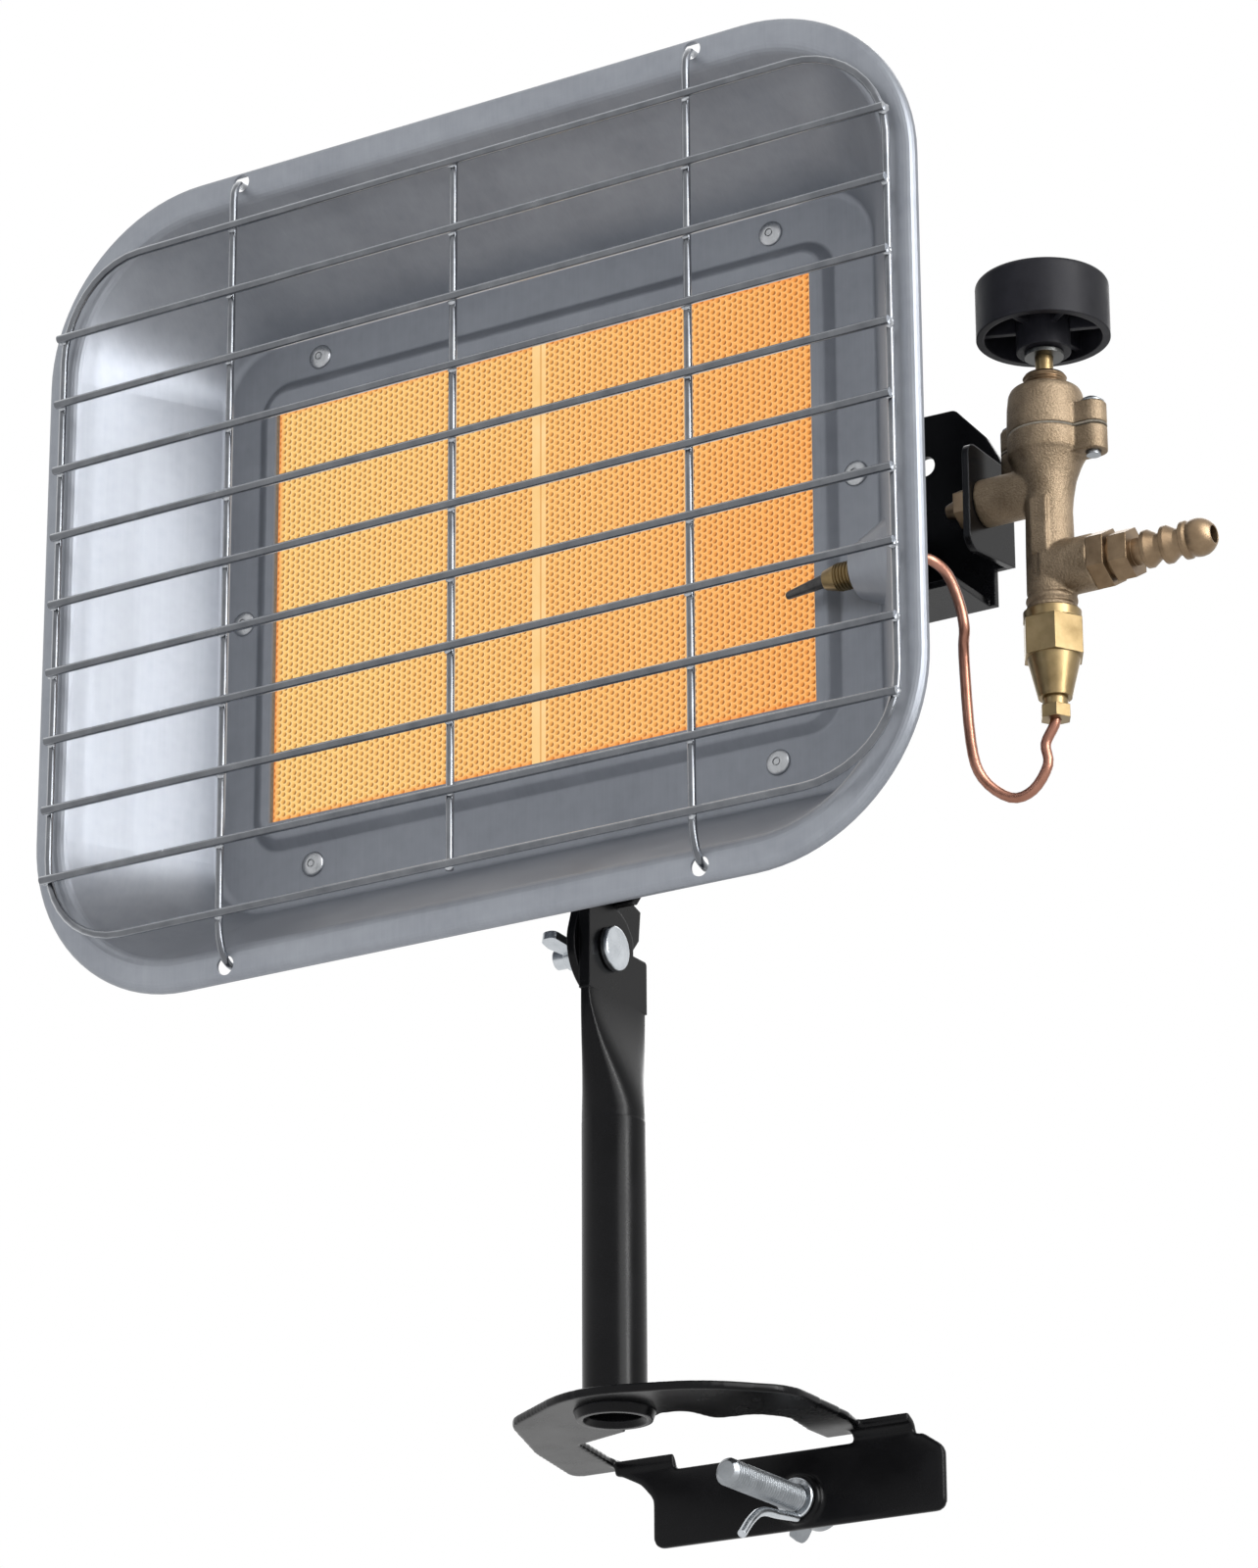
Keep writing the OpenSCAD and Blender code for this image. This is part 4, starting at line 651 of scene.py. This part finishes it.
random.seed(7)
weld_r, weld_rough, weld_back = 0.0008, 0.0003, 0.0001
bpy.ops.object.select_all(action="DESELECT")
bpy.ops.mesh.primitive_ico_sphere_add(subdivisions=2, radius=weld_r)
nugget = bpy.context.object
nugget.name = "guard_welds"
bpy.ops.object.mode_set(mode="EDIT")
bpy.ops.mesh.select_all(action="SELECT")
bpy.ops.transform.vertex_random(offset=weld_rough, seed=4)
bpy.ops.object.mode_set(mode="OBJECT")
low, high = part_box("guard_bars")
bars = 9
bar_z = [low[2] + bar_r + k*(high[2] - low[2] - 2*bar_r)/(bars - 1) for k in range(bars)]
weld_y = (low[1] + bar_r + rear_y)/2 + weld_back
stands = [mid_up - upright_x, mid_up, mid_up + upright_x]
crossings = [(x, z) for z in bar_z for x in [mid_x - loop_x, mid_x + loop_x] + stands]
crossings += [(x, mid_z + s*loop_z) for x in stands for s in (-1, 1)]
welds = []
for x, z in crossings:
    weld = copy_of(nugget.data, "weld_copy")
    weld.rotation_euler = (0, random.uniform(-0.5, 0.5), 0)
    weld.scale = (random.uniform(1.5, 2.2), random.uniform(0.6, 0.8), random.uniform(1.4, 2.0))
    set_down(weld, (x + random.uniform(-0.0003, 0.0006), weld_y, z - random.uniform(0.0, 0.0006)))
    welds.append(weld)
set_down(nugget, (mid_x, weld_y, bar_z[bars//2]))
join_into(nugget, welds)
bpy.ops.object.shade_smooth_by_angle(angle=math.radians(50))
weld_finish, tree, shader = new_finish("weld_flash", Metallic=1.0)
fine = use_group(tree, speckle, Fine=3200.0, Coarse=500.0)
feed(tree, shader, Base_Color=tint(tree, fine["Cloud"], (0.22, 0.23, 0.25), (0.6, 0.62, 0.65)),
     Roughness=spread(tree, fine["Grain"], 0.15, 0.35))
fit_piece(nugget, weld_finish, "head", "guard_wire")


# Valve bracket: black painted plate behind the burner box, bent round to carry the valve. Zinc plated
# screws hold it and the hinge's bracket on the back of the box.
dress(black_paint, "valve_bracket")
dress(zinc, "bracket_screws")


# Valve castings: body and bonnet of sand cast brass left as cast, dull, brown and grainy, with soft
# corners where the mould was rounded. Zinc screws draw them together on a fibre gasket.
cast, tree, shader = new_finish("cast_brass", Metallic=1.0)
fine = use_group(tree, speckle, Fine=1800.0, Coarse=120.0)
sandy = number(tree, "MULTIPLY_ADD", fine["Grain"], 0.5, fine["Cloud"])
feed(tree, shader,
     Base_Color=tint(tree, sandy, (0.13, 0.094, 0.059), (0.31, 0.24, 0.165), start=0.45, stop=1.05),
     Roughness=spread(tree, fine["Cloud"], 0.5, 0.64),
     Normal=rough_skin(tree, fine["Grain"], 0.7, 0.0003))
for node in ("valve_body", "valve_bonnet"):
    casting = own_copy(node, node + "_cast")
    soften(casting, voxel=0.00042, rounds=3)
    fit_piece(casting, cast, "head", "cast_brass", node)
dress(fibre, "valve_gasket")
dress(zinc, "bonnet_screws")


# Turned brass: spindle, nuts, hose tail and union are cut from bar, the hexagons left as drawn and the
# rest turned smooth. Handling has dulled them to a soft brown shine. A steel spring lifts the spindle.
brass = worn_metal("turned_brass", (0.2, 0.142, 0.068), (0.31, 0.23, 0.118), (0.3, 0.42), 2600.0, 160.0)
dress(brass, "spindle", "magnet_unit", "union_nut", "lead_nut", "probe_nut")
brown = worn_metal("brown_brass", (0.17, 0.116, 0.07), (0.29, 0.208, 0.13), (0.32, 0.46), 2200.0, 140.0,
                   pits=0.2, pit_depth=0.00006)
dress(brown, "packing_nut", "inlet_nut", "hose_nozzle", "injector")
steel = worn_metal("dull_steel", (0.07, 0.072, 0.07), (0.14, 0.142, 0.138), (0.3, 0.46), 3000.0, 180.0)
dress(steel, "spindle_washer")
low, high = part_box("spindle_spring")
spring = own_copy("spindle_spring", "return_spring")
bpy.ops.object.shade_smooth_by_angle(angle=math.radians(50))
fit_piece(spring, steel, "head", "zinc_plate", "spindle_spring")
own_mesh(spring)


# Knob: a round cap moulded in matt black plastic with ribs inside its skirt, pushed on the spindle.
# Its fine grain takes a soft highlight on the rounded edge.
matt, tree, shader = new_finish("knob_plastic", Specular_IOR_Level=0.16)
edge = use_group(tree, soft_edge, Radius=0.0006)
fine = use_group(tree, speckle, Fine=2200.0, Coarse=150.0)
feed(tree, shader, Base_Color=tint(tree, fine["Cloud"], (0.008, 0.008, 0.011), (0.015, 0.015, 0.019)),
     Roughness=spread(tree, fine["Cloud"], 0.42, 0.55),
     Normal=rough_skin(tree, fine["Grain"], 0.2, 0.0001, edge))
dress(matt, "knob")


# Thermocouple: a steel tip darkened by the flame, in a threaded brass fitting through the pan's wall,
# and a thin copper tube that is bent by hand from there down and round to the bottom of the valve.
copper, tree, shader = new_finish("copper", Metallic=1.0)
fine = use_group(tree, speckle, Fine=1800.0, Coarse=130.0)
feed(tree, shader, Base_Color=tint(tree, fine["Cloud"], (0.27, 0.125, 0.085), (0.4, 0.2, 0.145)),
     Roughness=spread(tree, fine["Cloud"], 0.28, 0.42))
lead = own_copy("thermo_lead", "thermo_lead_bent")
bpy.ops.object.shade_smooth_by_angle(angle=math.radians(60))
fit_piece(lead, copper, "head", "copper", "thermo_lead")

low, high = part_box("thermo_fitting")
_, axis_y, axis_z = middle(low, high)
fitting_l, cone_l, plain_l, ridge_pitch = high[0] - low[0], 0.004, 0.0015, 0.001
fitting_outline = [(0, 0), (0, 0.0026), (0.0003, 0.0028), (0.0036, 0.0037), (cone_l, 0.0038)]
ridge = cone_l
while ridge < fitting_l - plain_l:
    fitting_outline += [(ridge + 0.0001, 0.0035), (ridge + 0.0003, 0.00345), (ridge + 0.0007, 0.00398),
                        (ridge + 0.0008, 0.00398)]
    ridge += ridge_pitch
fitting_outline += [(fitting_l, 0.0036), (fitting_l, 0)]
fitting = open_line("thermo_fitting_thread", [(along, r, 0) for along, r in fitting_outline])
turn_round(fitting, "X", steps=36)
bpy.ops.object.shade_smooth_by_angle(angle=math.radians(25))
set_down(fitting, (low[0], axis_y, axis_z))
fit_piece(fitting, brass, "head", "turned_brass", "thermo_fitting")

tip_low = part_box("thermo_tip")[0]
tip_l = low[0] - tip_low[0] + 0.0006
nose_l, nose_r, taper, rings = 0.0008, 0.00115, 0.00085, 6
droop, held_l = 0.0019, 0.0012
tip_outline = [(0, 0), (0.00005, 0.0006), (0.0003, 0.00098), (nose_l, nose_r)]
tip_outline += [(nose_l + (tip_l - nose_l)*k/rings, nose_r + taper*k/rings) for k in range(1, rings + 1)]
tip_outline += [(tip_l, 0)]
tip = open_line("thermo_tip_burnt", [(along, r, 0) for along, r in tip_outline])
turn_round(tip, "X", steps=28)
for corner in tip.data.vertices:
    corner.co.z -= droop*max(0.0, 1 - corner.co.x/(tip_l - held_l))
bpy.ops.object.shade_smooth_by_angle(angle=math.radians(40))
set_down(tip, (tip_low[0], axis_y, axis_z))
burnt, tree, shader = new_finish("burnt_steel", Metallic=1.0)
fine = use_group(tree, speckle, Fine=2200.0, Coarse=260.0)
feed(tree, shader, Base_Color=tint(tree, fine["Cloud"], (0.045, 0.045, 0.047), (0.12, 0.118, 0.115)),
     Roughness=spread(tree, fine["Cloud"], 0.35, 0.55))
fit_piece(tip, burnt, "head", "zinc_plate", "thermo_tip")
